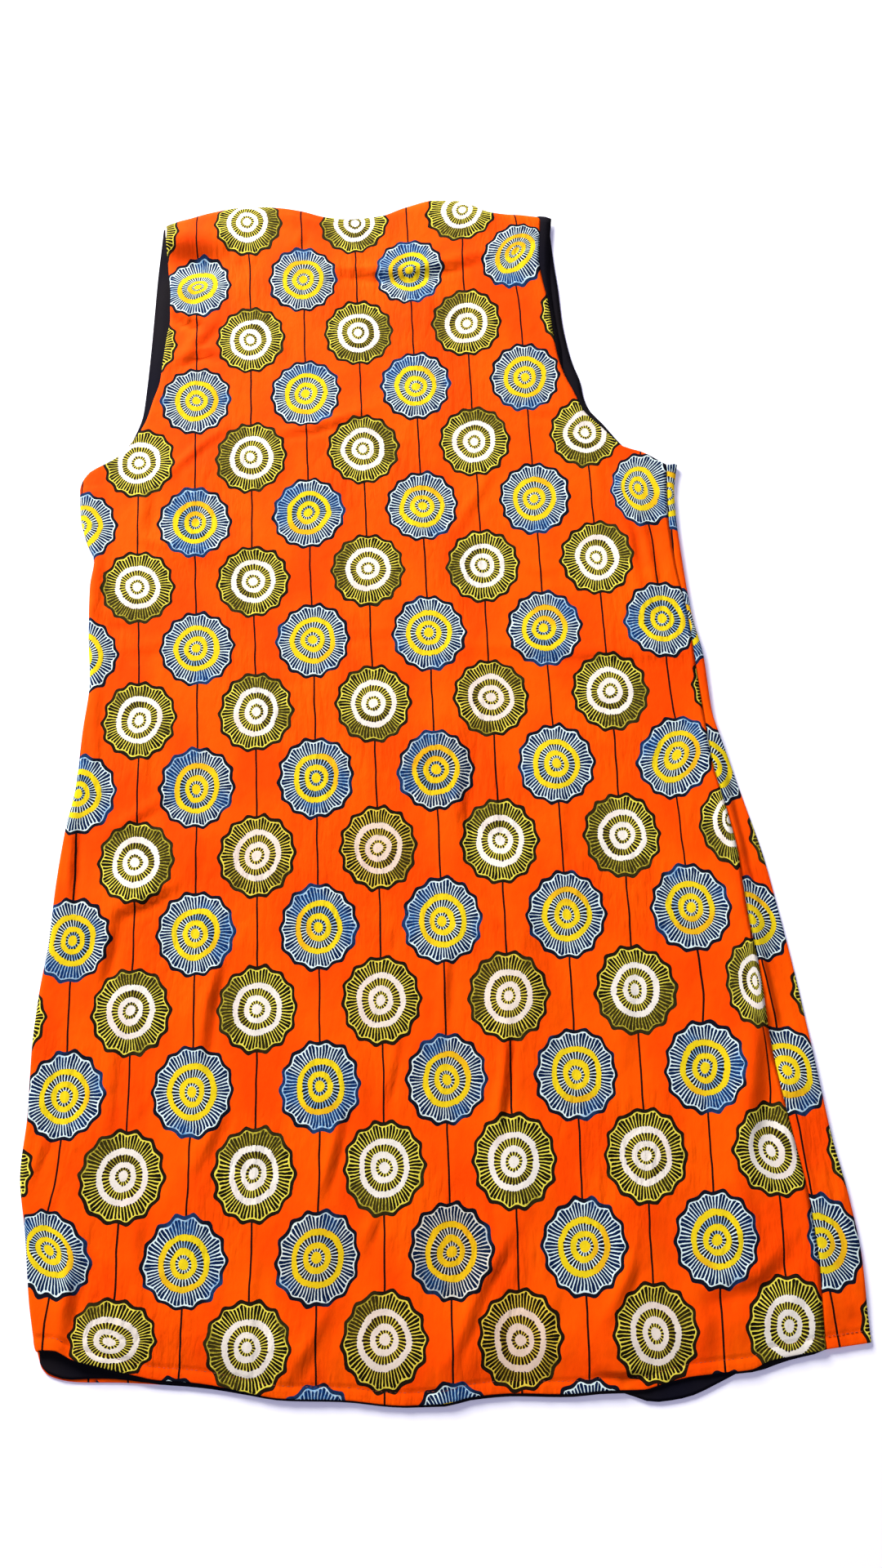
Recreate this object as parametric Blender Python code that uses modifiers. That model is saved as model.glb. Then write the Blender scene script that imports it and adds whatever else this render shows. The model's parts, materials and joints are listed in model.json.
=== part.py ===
"""A long sleeveless vest of printed cotton with a dark lining, laid flat with its back up.

Looking down on it, +X is to the right and +Y runs from the hem to the neck. The fronts rest on Z = 0 and the
layers lie on each other: fronts, front linings, back lining, back. On the left the back rolls over the fold
and runs on underneath to the side seam. On the right the front comes round the fold from below, and its edge
shows on top beside the back. Places and lengths in plan are in centimetres, walls and heights in millimetres.
"""

import math
from collections import namedtuple

import bpy
import numpy as np

METRES_PER_CM = 0.01
METRES_PER_MM = 0.001

# Walls and heights of the layers, in millimetres from the table up
OUTER_WALL = 1.2
LINING_WALL = 1.0
LAYER_GAP = 0.3
FRONT_LINING_TOP = OUTER_WALL + LAYER_GAP + LINING_WALL
BACK_LINING_TOP = FRONT_LINING_TOP + LAYER_GAP + LINING_WALL
BACK_TOP = BACK_LINING_TOP + LAYER_GAP + OUTER_WALL
SHOULDER_TOP = OUTER_WALL + LAYER_GAP + OUTER_WALL  # there the back lies right on the front
MOST_RAISED = 3.9  # the most that folds and swell lift the back over the flat cloth
FOLD_SWELL = 1.0  # how much higher the cloth stands beside a side fold
ARMHOLE_ROLL = 0.5  # how far the back's left armhole edge rolls down
NECK_SAG = 1.8  # how far the back sinks into the open neck below it
LINING_SAG_SHARE = 1.1  # its lining sinks a little more

# Lengths in plan, in centimetres
SEAM_GAP = 0.03
CENTRE_GAP = 0.3  # between the two open fronts
FOLD_REACH = 0.4  # how far in the round of a side fold reaches
STRIP_SHARE = 0.7  # most of the front's strip on top that its fold may take
SWELL_REACH = 1.8
ROLL_REACH = 0.8  # the back's top edge rolls down over this length
SAG_MARGIN = 0.8
SAG_WIDTH = 7.0  # half width of an open neck over which the back sinks fully
FRONT_INSET = 0.05  # the front's armhole edge hides this far under its lining
FRONT_TOP_INSET = 0.04
LINING_HEM = 0.3  # width of the front's hem that shows below its lining
LINING_PEEK = 0.15  # how far the back's lining hangs below the back's hem
LINING_TOP_INSET = 1.0
HIDDEN_INSET = 0.3
UNDERARM_CLEAR = 1.2  # the right front's lining keeps clear of the fold's end at the underarm
UNDERARM_FADE = (21.15, 22.95)
LEFT_SHOULDER_END = (-18.2, -19.4)  # x where the rolled top edge gives way to the lined shoulder end
RIGHT_SHOULDER_END = (9.2, 10.8)

# Rows and columns of the cloth
ROWS_BODY = 36
ROWS_YOKE = 15
COLUMNS_BACK = 36
COLUMNS_FRONT = 8
COLUMNS_FOLD = 6
COLUMNS_WRAP = 2
LINING_ROWS_BODY = 12
LINING_ROWS_YOKE = 10
COLUMNS_LINING_BACK = 18
COLUMNS_LINING_FRONT = 7
YOKE_CROWDING = 1.35  # rows of the yoke lie closer towards the underarm
ROLLED_ROWS = (0.97, 0.985, 1.0)  # the last rows of the yoke, as shares of its length
SETTLING_STEPS = 12

Side = namedtuple("Side", "y left_fold left_seam right_fold right_seam")
SIDES = (
    Side(-48.0, -27.0, -23.1, 28.6, 25.4),
    Side(-44.0, -27.2, -23.2, 28.6, 25.4),
    Side(-40.0, -27.8, -23.7, 28.8, 25.55),
    Side(-36.0, -28.25, -24.2, 28.25, 25.4),
    Side(-32.0, -28.8, -24.6, 27.6, 24.85),
    Side(-24.0, -28.45, -24.8, 26.8, 23.95),
    Side(-16.0, -27.6, -24.4, 25.8, 23.35),
    Side(-8.0, -26.8, -23.9, 24.3, 22.65),
    Side(-2.0, -25.9, -23.5, 22.9, 21.85),
    Side(3.0, -25.45, -23.2, 22.3, 21.6),
    Side(8.0, -25.65, -23.3, 21.75, 21.25),
    Side(12.0, -25.7, -23.5, 21.5, 20.85),
    Side(14.5, -25.5, -23.7, 21.4, 20.7),
    Side(17.0, -26.2, -24.0, 21.35, 20.65),
    Side(21.0, -26.85, -24.5, 21.85, 20.95),
)

# Where the upright edges run, as x at each y
Edge = namedtuple("Edge", "y x")
BACK_ARMHOLE_LEFT = (
    Edge(20.85, -26.85),
    Edge(22.45, -26.05),
    Edge(23.15, -24.85),
    Edge(25.05, -22.75),
    Edge(26.95, -21.65),
    Edge(30.75, -20.55),
    Edge(36.55, -19.85),
    Edge(40.75, -19.95),
    Edge(46.45, -20.4),
)
BACK_ARMHOLE_RIGHT = (
    Edge(21.15, 20.95),
    Edge(22.55, 18.75),
    Edge(23.75, 16.85),
    Edge(26.35, 14.65),
    Edge(28.45, 13.85),
    Edge(32.25, 12.75),
    Edge(37.25, 12.35),
    Edge(41.25, 11.85),
    Edge(45.85, 12.3),
)
FRONT_ARMHOLE_LEFT = (
    Edge(20.8, -24.5),
    Edge(23.5, -23.6),
    Edge(25.15, -22.85),
    Edge(27.75, -21.95),
    Edge(30.85, -21.65),
    Edge(37.25, -21.25),
    Edge(46.15, -20.65),
)
FRONT_ARMHOLE_RIGHT = (
    Edge(21.15, 21.85),
    Edge(21.9, 19.2),
    Edge(22.95, 17.85),
    Edge(25.35, 16.15),
    Edge(26.85, 15.05),
    Edge(29.25, 14.65),
    Edge(32.85, 13.75),
    Edge(38.55, 13.35),
    Edge(45.9, 12.95),
)
# Right edge of the back's lining, which is rolled out past the armhole as a dark band
ROLLED_BAND = (
    Edge(21.15, 19.9),
    Edge(22.55, 18.0),
    Edge(23.75, 16.4),
    Edge(28.45, 13.5),
    Edge(30.8, 13.1),
    Edge(32.35, 13.15),
    Edge(36.95, 12.75),
    Edge(41.55, 12.75),
    Edge(45.95, 13.25),
)
CENTRE_FRONT = (Edge(-48.0, 4.1), Edge(21.0, -1.0), Edge(48.0, -3.85))
NECK_HALF_WIDTH = (
    Edge(-48.0, 0.0),
    Edge(18.5, 0.0),
    Edge(22.0, 0.7),
    Edge(30.0, 2.9),
    Edge(40.0, 5.7),
    Edge(48.0, 7.9),
)

# Where the level edges run, as y at each x
Rim = namedtuple("Rim", "x y")
TOP_EDGE = (
    Rim(-20.65, 46.3),
    Rim(-18.55, 47.15),
    Rim(-16.25, 47.85),
    Rim(-13.55, 48.25),
    Rim(-10.35, 47.95),
    Rim(-8.55, 47.55),
    Rim(-6.45, 46.85),
    Rim(-4.25, 46.55),
    Rim(-1.75, 46.75),
    Rim(0.45, 47.55),
    Rim(3.35, 48.25),
    Rim(5.15, 48.15),
    Rim(7.95, 46.85),
    Rim(10.55, 46.35),
    Rim(12.95, 45.75),
)
UNDERARM = (Rim(-26.85, 20.85), Rim(21.85, 21.15))
BACK_HEM = (
    Rim(-27.15, -43.45),
    Rim(-25.55, -43.25),
    Rim(-24.15, -44.05),
    Rim(-21.95, -45.05),
    Rim(-18.65, -45.85),
    Rim(-13.55, -46.65),
    Rim(-6.25, -47.35),
    Rim(-1.95, -47.85),
    Rim(2.65, -47.45),
    Rim(10.05, -47.65),
    Rim(14.35, -47.25),
    Rim(20.25, -46.65),
    Rim(22.35, -45.95),
    Rim(28.55, -45.25),
)
FRONT_HEM = (
    Rim(-27.15, -43.45),
    Rim(-26.85, -44.45),
    Rim(-26.25, -45.05),
    Rim(-24.45, -45.45),
    Rim(-19.85, -45.7),
    Rim(-14.0, -46.3),
    Rim(-6.0, -46.9),
    Rim(10.0, -47.2),
    Rim(11.75, -47.55),
    Rim(13.75, -48.25),
    Rim(15.55, -48.05),
    Rim(19.15, -46.85),
    Rim(21.0, -46.1),
    Rim(25.0, -45.3),
    Rim(28.55, -45.25),
)

# How much further down the right front's lining reaches where it shows as a wedge under the hem
Drop = namedtuple("Drop", "x length")
WEDGE = (Drop(10.0, 0.0), Drop(12.5, 0.33), Drop(18.0, 0.33), Drop(21.0, 0.0))

# Soft folds of the back: a rounded ridge from one end to the other, with its half width, and its height in mm
Fold = namedtuple("Fold", "x1 y1 x2 y2 width height")
FOLDS = (
    Fold(3.2, 1.0, 5.2, -32.0, 2.2, 2.2),
    Fold(5.0, -34.0, 1.5, -46.5, 2.0, 2.8),
    Fold(-7.0, -22.0, -8.6, -46.0, 2.2, 2.4),
    Fold(-15.4, -14.0, -16.6, -34.0, 2.0, 2.2),
    Fold(10.4, -4.0, 10.2, -20.0, 2.0, 1.8),
    Fold(13.0, -33.0, 10.8, -47.0, 2.0, 2.6),
    Fold(24.0, -15.0, 20.0, -40.0, 2.2, 2.6),
    Fold(-17.5, -7.5, -24.5, -17.0, 2.0, 2.2),
    Fold(-20.0, 22.0, -2.0, 27.4, 1.9, 1.6),
    Fold(-20.7, 14.2, -12.8, 14.6, 1.8, 1.4),
    Fold(3.8, 5.6, 22.0, 4.8, 1.8, 1.4),
    Fold(-9.0, 40.6, 9.0, 41.4, 1.8, 1.6),
    Fold(17.4, 19.0, 18.6, 9.5, 1.7, 2.0),
    Fold(-19.5, 37.4, -16.4, 34.0, 1.6, 1.6),
    Fold(-25.0, -44.5, -22.5, -44.5, 2.6, 2.4),
    Fold(18.0, -46.5, 22.0, -45.5, 1.8, 1.8),
)

Paint = namedtuple("Paint", "colour roughness")
PRINT_PAINT = Paint((0.95, 0.11, 0.006), 0.75)
LINING_PAINT = Paint((0.011, 0.011, 0.02), 0.7)


def smooth_through(rows):
    """A curve through the rows' two columns that never overshoots and runs straight on past its ends."""
    at = np.array([row[0] for row in rows])
    value = np.array([row[1] for row in rows])
    step = np.diff(at)
    slope = np.diff(value) / step
    tangent = np.zeros(len(rows))
    tangent[0] = slope[0]
    tangent[-1] = slope[-1]
    for i in range(1, len(rows) - 1):
        before, after = slope[i - 1], slope[i]
        if before * after > 0:
            near, far = step[i - 1] + 2 * step[i], 2 * step[i - 1] + step[i]
            tangent[i] = (near + far) / (near / before + far / after)

    def read(where):
        if where <= at[0]:
            return value[0] + tangent[0] * (where - at[0])
        if where >= at[-1]:
            return value[-1] + tangent[-1] * (where - at[-1])
        i = int(np.searchsorted(at, where)) - 1
        t = (where - at[i]) / step[i]
        rise = value[i + 1] - value[i]
        start = tangent[i] * step[i]
        end = tangent[i + 1] * step[i]
        return value[i] + t * (start + t * (3 * rise - 2 * start - end + t * (start + end - 2 * rise)))

    return read


def side(column):
    return smooth_through([(row.y, getattr(row, column)) for row in SIDES])


left_fold = side("left_fold")
left_seam = side("left_seam")
right_fold = side("right_fold")
right_seam = side("right_seam")
back_armhole_left = smooth_through(BACK_ARMHOLE_LEFT)
back_armhole_right = smooth_through(BACK_ARMHOLE_RIGHT)
front_armhole_left = smooth_through(FRONT_ARMHOLE_LEFT)
front_armhole_right = smooth_through(FRONT_ARMHOLE_RIGHT)
rolled_band = smooth_through(ROLLED_BAND)
centre_front = smooth_through(CENTRE_FRONT)
neck_half_width = smooth_through(NECK_HALF_WIDTH)
top_edge = smooth_through(TOP_EDGE)
underarm = smooth_through(UNDERARM)
back_hem = smooth_through(BACK_HEM)
front_hem = smooth_through(FRONT_HEM)
wedge_drop = smooth_through(WEDGE)


def mix(a, b, share):
    return a + (b - a) * share


def ease(share):
    """0 to 1 with a soft start and end."""
    share = min(max(share, 0.0), 1.0)
    return share * share * (3 - 2 * share)


def between(x, ends):
    """0 at the first end, 1 at the second, eased."""
    return ease((x - ends[0]) / (ends[1] - ends[0]))


def lined_end(x):
    """1 at the shoulders' armhole ends, where the linings come through between back and front."""
    return max(between(x, LEFT_SHOULDER_END), between(x, RIGHT_SHOULDER_END))


def sag(x, y):
    """How far the back sinks into the open neck below it, in millimetres."""
    half = neck_half_width(y) - SAG_MARGIN
    away = abs(x - centre_front(y))
    if away >= half:
        return 0.0
    return NECK_SAG * ease(half / SAG_WIDTH) * (1 - (away / half) ** 2) ** 2


def folds_height(x, y):
    """Height of the soft folds at a plan point, in millimetres."""
    height = 0.0
    for fold in FOLDS:
        run_x, run_y = fold.x2 - fold.x1, fold.y2 - fold.y1
        to_x, to_y = x - fold.x1, y - fold.y1
        share = (to_x * run_x + to_y * run_y) / (run_x**2 + run_y**2)
        share = min(max(share, 0.0), 1.0)
        away = math.hypot(to_x - share * run_x, to_y - share * run_y)
        height += fold.height * math.exp(-((away / fold.width) ** 2))
    return height


def swell(x, y):
    """The cloth stands a little higher beside the side folds."""
    from_fold = min(x - left_fold(y), right_fold(y) - x)
    if y > underarm(x):
        return 0.0
    return FOLD_SWELL * (1 - ease((from_fold - FOLD_REACH) / SWELL_REACH))


def top_height(x, y):
    """Height of the vest's upper face at a plan point, in millimetres."""
    raised = MOST_RAISED * math.tanh((folds_height(x, y) + swell(x, y)) / MOST_RAISED)
    height = BACK_TOP - sag(x, y) + raised
    rolled = (1 - ease((top_edge(x) - y) / ROLL_REACH)) * (1 - lined_end(x))
    return mix(height, SHOULDER_TOP, rolled)


def body_share(row, rows_body):
    return row / rows_body


def yoke_share(row, rows_yoke):
    """Share of the way from underarm to top edge: crowded towards the underarm, with close rows at the roll."""
    plain_rows = rows_yoke - len(ROLLED_ROWS) + 1
    if row < plain_rows:
        return ROLLED_ROWS[0] * (row / plain_rows) ** YOKE_CROWDING
    return ROLLED_ROWS[row - plain_rows]


def settle(x_at, hem, top, row, rows_body, rows_yoke):
    """Plan point of a row on an upright line: x_at gives the line's x at each y, hem and top the rows' ends."""
    x, y = x_at(0.0), 0.0
    for _ in range(SETTLING_STEPS):
        if row <= rows_body:
            y = mix(hem(x), underarm(x), body_share(row, rows_body))
        else:
            y = mix(underarm(x), top(x), yoke_share(row - rows_body, rows_yoke))
        x = x_at(y)
    return x, y


def round_fold(turn, height):
    """Height in the round of a side fold: turn is 0 on the table, 0.5 at the outermost line and 1 on top."""
    return height * (1 - math.cos(math.pi * turn)) / 2


def round_inset(turn):
    """How far in from the outermost line the round lies, as a share of its reach."""
    return 1 - math.sin(math.pi * turn)


def back_point(column, row):
    """Outer face of the back: from the seam underneath round the fold, then across the top to the right."""
    in_yoke = row > ROWS_BODY
    turn = (column - COLUMNS_WRAP) / COLUMNS_FOLD
    share = (column - COLUMNS_WRAP - COLUMNS_FOLD) / COLUMNS_BACK
    if in_yoke and turn < 0.5:
        return None

    def x_at(y):
        outermost = back_armhole_left(y) if in_yoke else left_fold(y)
        if turn < 0:
            return mix(left_seam(y), outermost + FOLD_REACH, column / COLUMNS_WRAP)
        if turn <= 1:
            return outermost + FOLD_REACH * round_inset(turn)
        right = right_seam(y) if row < ROWS_BODY else back_armhole_right(y)
        return mix(outermost + FOLD_REACH, right, share)

    hem = front_hem if turn < 0.5 else back_hem
    x, y = settle(x_at, hem, top_edge, row, ROWS_BODY, ROWS_YOKE)
    if turn < 0:
        return x, y, 0.0
    if turn > 1:
        return x, y, top_height(x, y)
    if in_yoke:
        return x, y, top_height(x, y) - 2 * ARMHOLE_ROLL * (1 - turn)
    return x, y, round_fold(turn, top_height(left_fold(y) + FOLD_REACH, y))


def right_reach(y):
    """How far in the round of the right fold reaches."""
    return min(FOLD_REACH, STRIP_SHARE * (right_fold(y) - right_seam(y)))


def open_edge_left(y):
    return centre_front(y) - neck_half_width(y) - CENTRE_GAP / 2


def open_edge_right(y):
    return centre_front(y) + neck_half_width(y) + CENTRE_GAP / 2


def front_top(x):
    return top_edge(x) - FRONT_TOP_INSET


def front_left_point(column, row):
    """Underside of the left front, from its open edge to the side seam or armhole."""

    def x_at(y):
        if row <= ROWS_BODY:
            outer = left_seam(y) + SEAM_GAP
        else:
            outer = front_armhole_left(y) + FRONT_INSET
        return mix(open_edge_left(y), outer, column / COLUMNS_FRONT)

    x, y = settle(x_at, front_hem, front_top, row, ROWS_BODY, ROWS_YOKE)
    return x, y, 0.0


def front_right_point(column, row):
    """Outer face of the right front: from the seam on top round the fold, then under to its open edge."""
    in_yoke = row > ROWS_BODY
    turn = 1 - (column - COLUMNS_WRAP) / COLUMNS_FOLD
    share = (column - COLUMNS_WRAP - COLUMNS_FOLD) / COLUMNS_FRONT
    if in_yoke and turn > 0.5:
        return None

    def x_at(y):
        outermost = front_armhole_right(y) - FRONT_INSET if in_yoke else right_fold(y)
        if turn > 1:
            return mix(right_seam(y) + SEAM_GAP, outermost - right_reach(y), column / COLUMNS_WRAP)
        if turn >= 0:
            return outermost - right_reach(y) * round_inset(turn)
        return mix(outermost - right_reach(y), open_edge_right(y), share)

    hem = back_hem if turn >= 0.5 else front_hem
    x, y = settle(x_at, hem, front_top, row, ROWS_BODY, ROWS_YOKE)
    if turn > 1:
        return x, y, top_height(x, y)
    if turn < 0 or in_yoke:
        return x, y, 0.0
    return x, y, round_fold(turn, top_height(right_fold(y) - right_reach(y), y))


def lining_back_point(column, row):
    """Upper face of the back's lining."""
    clear = FOLD_REACH + HIDDEN_INSET

    def x_at(y):
        left = (left_fold(y) if row <= LINING_ROWS_BODY else back_armhole_left(y)) + clear
        right = right_fold(y) - clear if row < LINING_ROWS_BODY else rolled_band(y)
        return mix(left, right, column / COLUMNS_LINING_BACK)

    def hem(x):
        return back_hem(x) - LINING_PEEK

    def top(x):
        return top_edge(x) - LINING_TOP_INSET * (1 - between(x, RIGHT_SHOULDER_END))

    x, y = settle(x_at, hem, top, row, LINING_ROWS_BODY, LINING_ROWS_YOKE)
    return x, y, BACK_LINING_TOP - LINING_SAG_SHARE * sag(x, y)


def lining_front_top(x):
    return front_top(x) - LINING_TOP_INSET * (1 - lined_end(x))


def lining_front_left_point(column, row):
    """Upper face of the left front's lining, from the fold or armhole to its open edge."""

    def x_at(y):
        if row <= LINING_ROWS_BODY:
            left = left_fold(y) + FOLD_REACH + HIDDEN_INSET
        else:
            left = front_armhole_left(y)
        return mix(left, open_edge_left(y) - HIDDEN_INSET, column / COLUMNS_LINING_FRONT)

    def hem(x):
        return front_hem(x) + LINING_HEM

    x, y = settle(x_at, hem, lining_front_top, row, LINING_ROWS_BODY, LINING_ROWS_YOKE)
    return x, y, FRONT_LINING_TOP


def lining_front_right_point(column, row):
    """Upper face of the right front's lining, from its open edge to the fold or armhole."""

    def x_at(y):
        if row < LINING_ROWS_BODY:
            right = right_fold(y) - FOLD_REACH - HIDDEN_INSET
        else:
            right = front_armhole_right(y) - UNDERARM_CLEAR * (1 - between(y, UNDERARM_FADE))
        return mix(open_edge_right(y) + HIDDEN_INSET, right, column / COLUMNS_LINING_FRONT)

    def hem(x):
        in_wedge = min(max(x, WEDGE[0].x), WEDGE[-1].x)
        return front_hem(x) + LINING_HEM - wedge_drop(in_wedge)

    x, y = settle(x_at, hem, lining_front_top, row, LINING_ROWS_BODY, LINING_ROWS_YOKE)
    return x, y, FRONT_LINING_TOP


def painted(name, paint):
    material = bpy.data.materials.new(name)
    material.use_nodes = True
    shader = material.node_tree.nodes["Principled BSDF"]
    shader.inputs["Base Color"].default_value = (*paint.colour, 1)
    shader.inputs["Roughness"].default_value = paint.roughness
    shader.inputs["Metallic"].default_value = 0
    material.diffuse_color = (*paint.colour, 1)
    return material


def cut_away(panel, dropped):
    """Takes out the grid's points that would lie over an armhole."""
    for polygon in panel.data.polygons:
        polygon.select = False
    for edge in panel.data.edges:
        edge.select = False
    for vertex in panel.data.vertices:
        vertex.select = vertex.index in dropped
    bpy.ops.object.mode_set(mode="EDIT")
    bpy.ops.mesh.select_mode(type="VERT")
    bpy.ops.mesh.delete(type="VERT")
    bpy.ops.object.mode_set(mode="OBJECT")


def make_panel(name, point, columns, rows, wall, paint):
    """A cloth panel: a grid laid on the points that the function gives, thickened away from its outer face."""
    bpy.ops.mesh.primitive_grid_add(x_subdivisions=columns, y_subdivisions=rows, size=2)
    panel = bpy.context.active_object
    panel.name = name
    panel.data.name = name
    dropped = set()
    for vertex in panel.data.vertices:
        column = round((vertex.co.x + 1) / 2 * columns)
        row = round((vertex.co.y + 1) / 2 * rows)
        place = point(column, row)
        if place is None:
            dropped.add(vertex.index)
            continue
        x, y, height = place
        vertex.co = (x * METRES_PER_CM, y * METRES_PER_CM, height * METRES_PER_MM)
    if dropped:
        cut_away(panel, dropped)
    thicken = panel.modifiers.new("Wall", "SOLIDIFY")
    thicken.thickness = wall * METRES_PER_MM
    thicken.offset = -1
    thicken.use_even_offset = True
    panel.data.materials.append(painted(name + "_cloth", paint))
    panel.data.shade_smooth()
    return panel


def clear_scene():
    for old in list(bpy.data.objects):
        bpy.data.objects.remove(old, do_unlink=True)


# Each panel with the function that lays it, and its columns, rows, wall and paint
Panel = namedtuple("Panel", "name point columns rows wall paint")
ROWS = ROWS_BODY + ROWS_YOKE
LINING_ROWS = LINING_ROWS_BODY + LINING_ROWS_YOKE
FOLDED = COLUMNS_WRAP + COLUMNS_FOLD
PANELS = (
    Panel("back", back_point, FOLDED + COLUMNS_BACK, ROWS, OUTER_WALL, PRINT_PAINT),
    Panel("front_left", front_left_point, COLUMNS_FRONT, ROWS, OUTER_WALL, PRINT_PAINT),
    Panel("front_right", front_right_point, FOLDED + COLUMNS_FRONT, ROWS, OUTER_WALL, PRINT_PAINT),
    Panel("lining_back", lining_back_point, COLUMNS_LINING_BACK, LINING_ROWS, LINING_WALL, LINING_PAINT),
    Panel(
        "lining_front_left",
        lining_front_left_point,
        COLUMNS_LINING_FRONT,
        LINING_ROWS,
        LINING_WALL,
        LINING_PAINT,
    ),
    Panel(
        "lining_front_right",
        lining_front_right_point,
        COLUMNS_LINING_FRONT,
        LINING_ROWS,
        LINING_WALL,
        LINING_PAINT,
    ),
)


def main():
    clear_scene()
    vest = bpy.data.collections.new("long_vest")
    bpy.context.scene.collection.children.link(vest)
    for panel in PANELS:
        made = make_panel(*panel)
        for home in list(made.users_collection):
            home.objects.unlink(made)
        vest.objects.link(made)


main()
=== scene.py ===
"""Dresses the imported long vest: printed cotton panels, dark linings, hem stitching and a plain photo table.

The vest lies flat with its back up. Looking down on it, +X is to the right and +Y runs from the hem to the
neck. Places in plan are in centimetres and heights above the table in millimetres, as in the part's own
source, and the operators turn them into metres. Each cloth panel is a grid laid on its curves, with the
folds and creases in its points, and then thickened to a thin shell.
"""

import json
import math
from collections import namedtuple

import bpy
import numpy as np
from mathutils import Matrix, Vector

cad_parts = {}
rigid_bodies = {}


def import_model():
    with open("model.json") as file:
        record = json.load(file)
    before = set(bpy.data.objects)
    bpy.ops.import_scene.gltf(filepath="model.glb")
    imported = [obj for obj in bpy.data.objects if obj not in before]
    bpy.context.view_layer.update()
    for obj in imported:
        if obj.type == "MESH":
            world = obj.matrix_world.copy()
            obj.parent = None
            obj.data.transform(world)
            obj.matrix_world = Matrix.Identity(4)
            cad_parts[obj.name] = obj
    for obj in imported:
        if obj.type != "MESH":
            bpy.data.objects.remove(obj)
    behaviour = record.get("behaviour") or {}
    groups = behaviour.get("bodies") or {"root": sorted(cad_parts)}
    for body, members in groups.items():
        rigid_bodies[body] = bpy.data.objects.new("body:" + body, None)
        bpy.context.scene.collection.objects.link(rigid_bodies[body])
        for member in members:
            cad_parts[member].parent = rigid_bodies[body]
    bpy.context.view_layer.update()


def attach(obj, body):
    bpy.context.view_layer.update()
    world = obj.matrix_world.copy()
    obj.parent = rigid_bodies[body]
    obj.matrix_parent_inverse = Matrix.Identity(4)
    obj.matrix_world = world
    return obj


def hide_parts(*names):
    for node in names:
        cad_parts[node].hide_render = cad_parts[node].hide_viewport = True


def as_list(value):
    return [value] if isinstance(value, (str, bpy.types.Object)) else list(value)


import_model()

bl_info = {
    "name": "Long vest",
    "version": (1, 0, 0),
    "blender": (4, 5, 0),
    "location": "View3D > Sidebar > Long vest",
    "description": "Lays out a printed, lined, sleeveless long vest on a table",
    "category": "Object",
}

METRES_PER_CM = 0.01
METRES_PER_MM = 0.001
MM_PER_CM = 10
BODY = "root"
PRINT_MAP = "print"

# Heights of the layers in the middle of the vest, in millimetres from the table up
FRONT_LINING_TOP = 2.5
BACK_LINING_TOP = 3.8
BACK_TOP = 5.3
MOST_RAISED = 3.4  # the most that folds and swell lift the back over the flat cloth
FOLD_SWELL = 1.0  # how much higher the cloth stands beside the left fold
NECK_SAG = 1.8  # how far the back sinks into the open neck below it
STRIP_FALL = 1.5  # how far the front's strip slopes down from the right seam to its fold
STRIP_LEAST = 1.9
STRIP_SOFTNESS = 0.5
TUCK_STEP = 1.2  # how much of a tuck's depth is a step under the seam, the rest is a slope

# Heights at the edges, in millimetres
HEM_EDGE_TOP = 3.3
CORNER_LIFT = 3.4  # how far the back's hem lifts off the lining at the open left corner
SHOULDER_EDGE = 1.4
FRONT_SHOULDER_EDGE = 1.05
LINED_EDGE = 2.9  # at the neck and the shoulders' armhole ends, where the linings lie under the edge
ARMHOLE_ROLL = 1.1
BAND_TOP = 4.7  # the lining rolled out along the right armhole
BAND_EDGE = 3.1
LAYER_CLEAR = 0.8  # from the back's upper face down to its lining's
TURNED_CLEAR = 1.35  # the same over the turned hem
LINING_CLEAR = 0.6
LEAST_LINING_TOP = 0.95
LEAST_BACK_LINING = 0.45
TURNED_LINING_TOP = 1.6
CURL_SHARE = 0.45  # height of the lining's curled edge, as a share of the lining's own
PUCKER_HEIGHT = 0.13

# Lengths in plan, in centimetres
SEAM_GAP = 0.03
TUCK_LEAD = 0.25
TUCK_REACH = 0.3
TUCK_SLOPE = 1.5
CENTRE_GAP = 0.3
FOLD_REACH = 0.4
STRIP_SHARE = 0.7  # the right fold reaches over this share of the strip's width at most
STRIP_FULL_WIDTH = 2.0
STRIP_LEAST_WIDTH = 0.5
STRIP_ROUNDING = (-0.15, 0.95)  # where the slope starts and ends, as shares of its width
SWELL_REACH = 1.8
SHOULDER_REACH = 0.8
SAG_MARGIN = 0.8
SAG_WIDTH = 7.0
NARROWEST_SAG = 0.01
HEM_PRESS = 3.2  # the hem is pressed down over this length
HEM_ROLL = 0.055  # radius of the turned hem's edge
TURN_UP = 2.0
TURN_UP_FADE = 0.5
LINING_FREE = (0.3, 1.5)  # over this stretch above the hem's edge the lining comes free of the cloth over it
STITCH_LINE = 0.78  # from the hem's edge up to its topstitching
FRONT_INSET = 0.05
FRONT_TOP_INSET = 0.04
LINING_TOP_INSET = 1.0
LINING_CURL = 0.14  # how far inside the side folds the linings curl
LINING_INSET = 0.1
LINING_LOOKS = ((0.45, 0.0), (-0.45, 0.0), (0.0, 0.6), (0.0, -0.6))  # where else it looks for low cloth
HIDDEN_INSET = 0.3
LINING_EDGE = 0.3  # from the left fold in to the front lining's edge
LEFT_LINING_FADE = 0.9  # the front linings are lowered over this width beside the armholes
RIGHT_LINING_FADE = 0.5
BAND_REACH = 0.35
NARROWEST_BAND = 0.05
UNDERARM_CLEAR = 1.2
UNDERARM_FADE = (21.15, 22.95)
LEFT_SHOULDER_END = (-18.2, -19.4)
RIGHT_SHOULDER_END = (9.2, 10.8)
NECK_TURN = 0.5  # from the neck's edge in to where its turned edge shows through
NECK_TURN_MIDDLE = (-7.0, 3.0)  # x and half width of the stretch where it does
NECK_ENDS = (-12.6, 3.6)  # x where the neck edge meets the shoulder seams
CORNER = (-24.4, 2.7)  # x and half width of the open left corner

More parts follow.
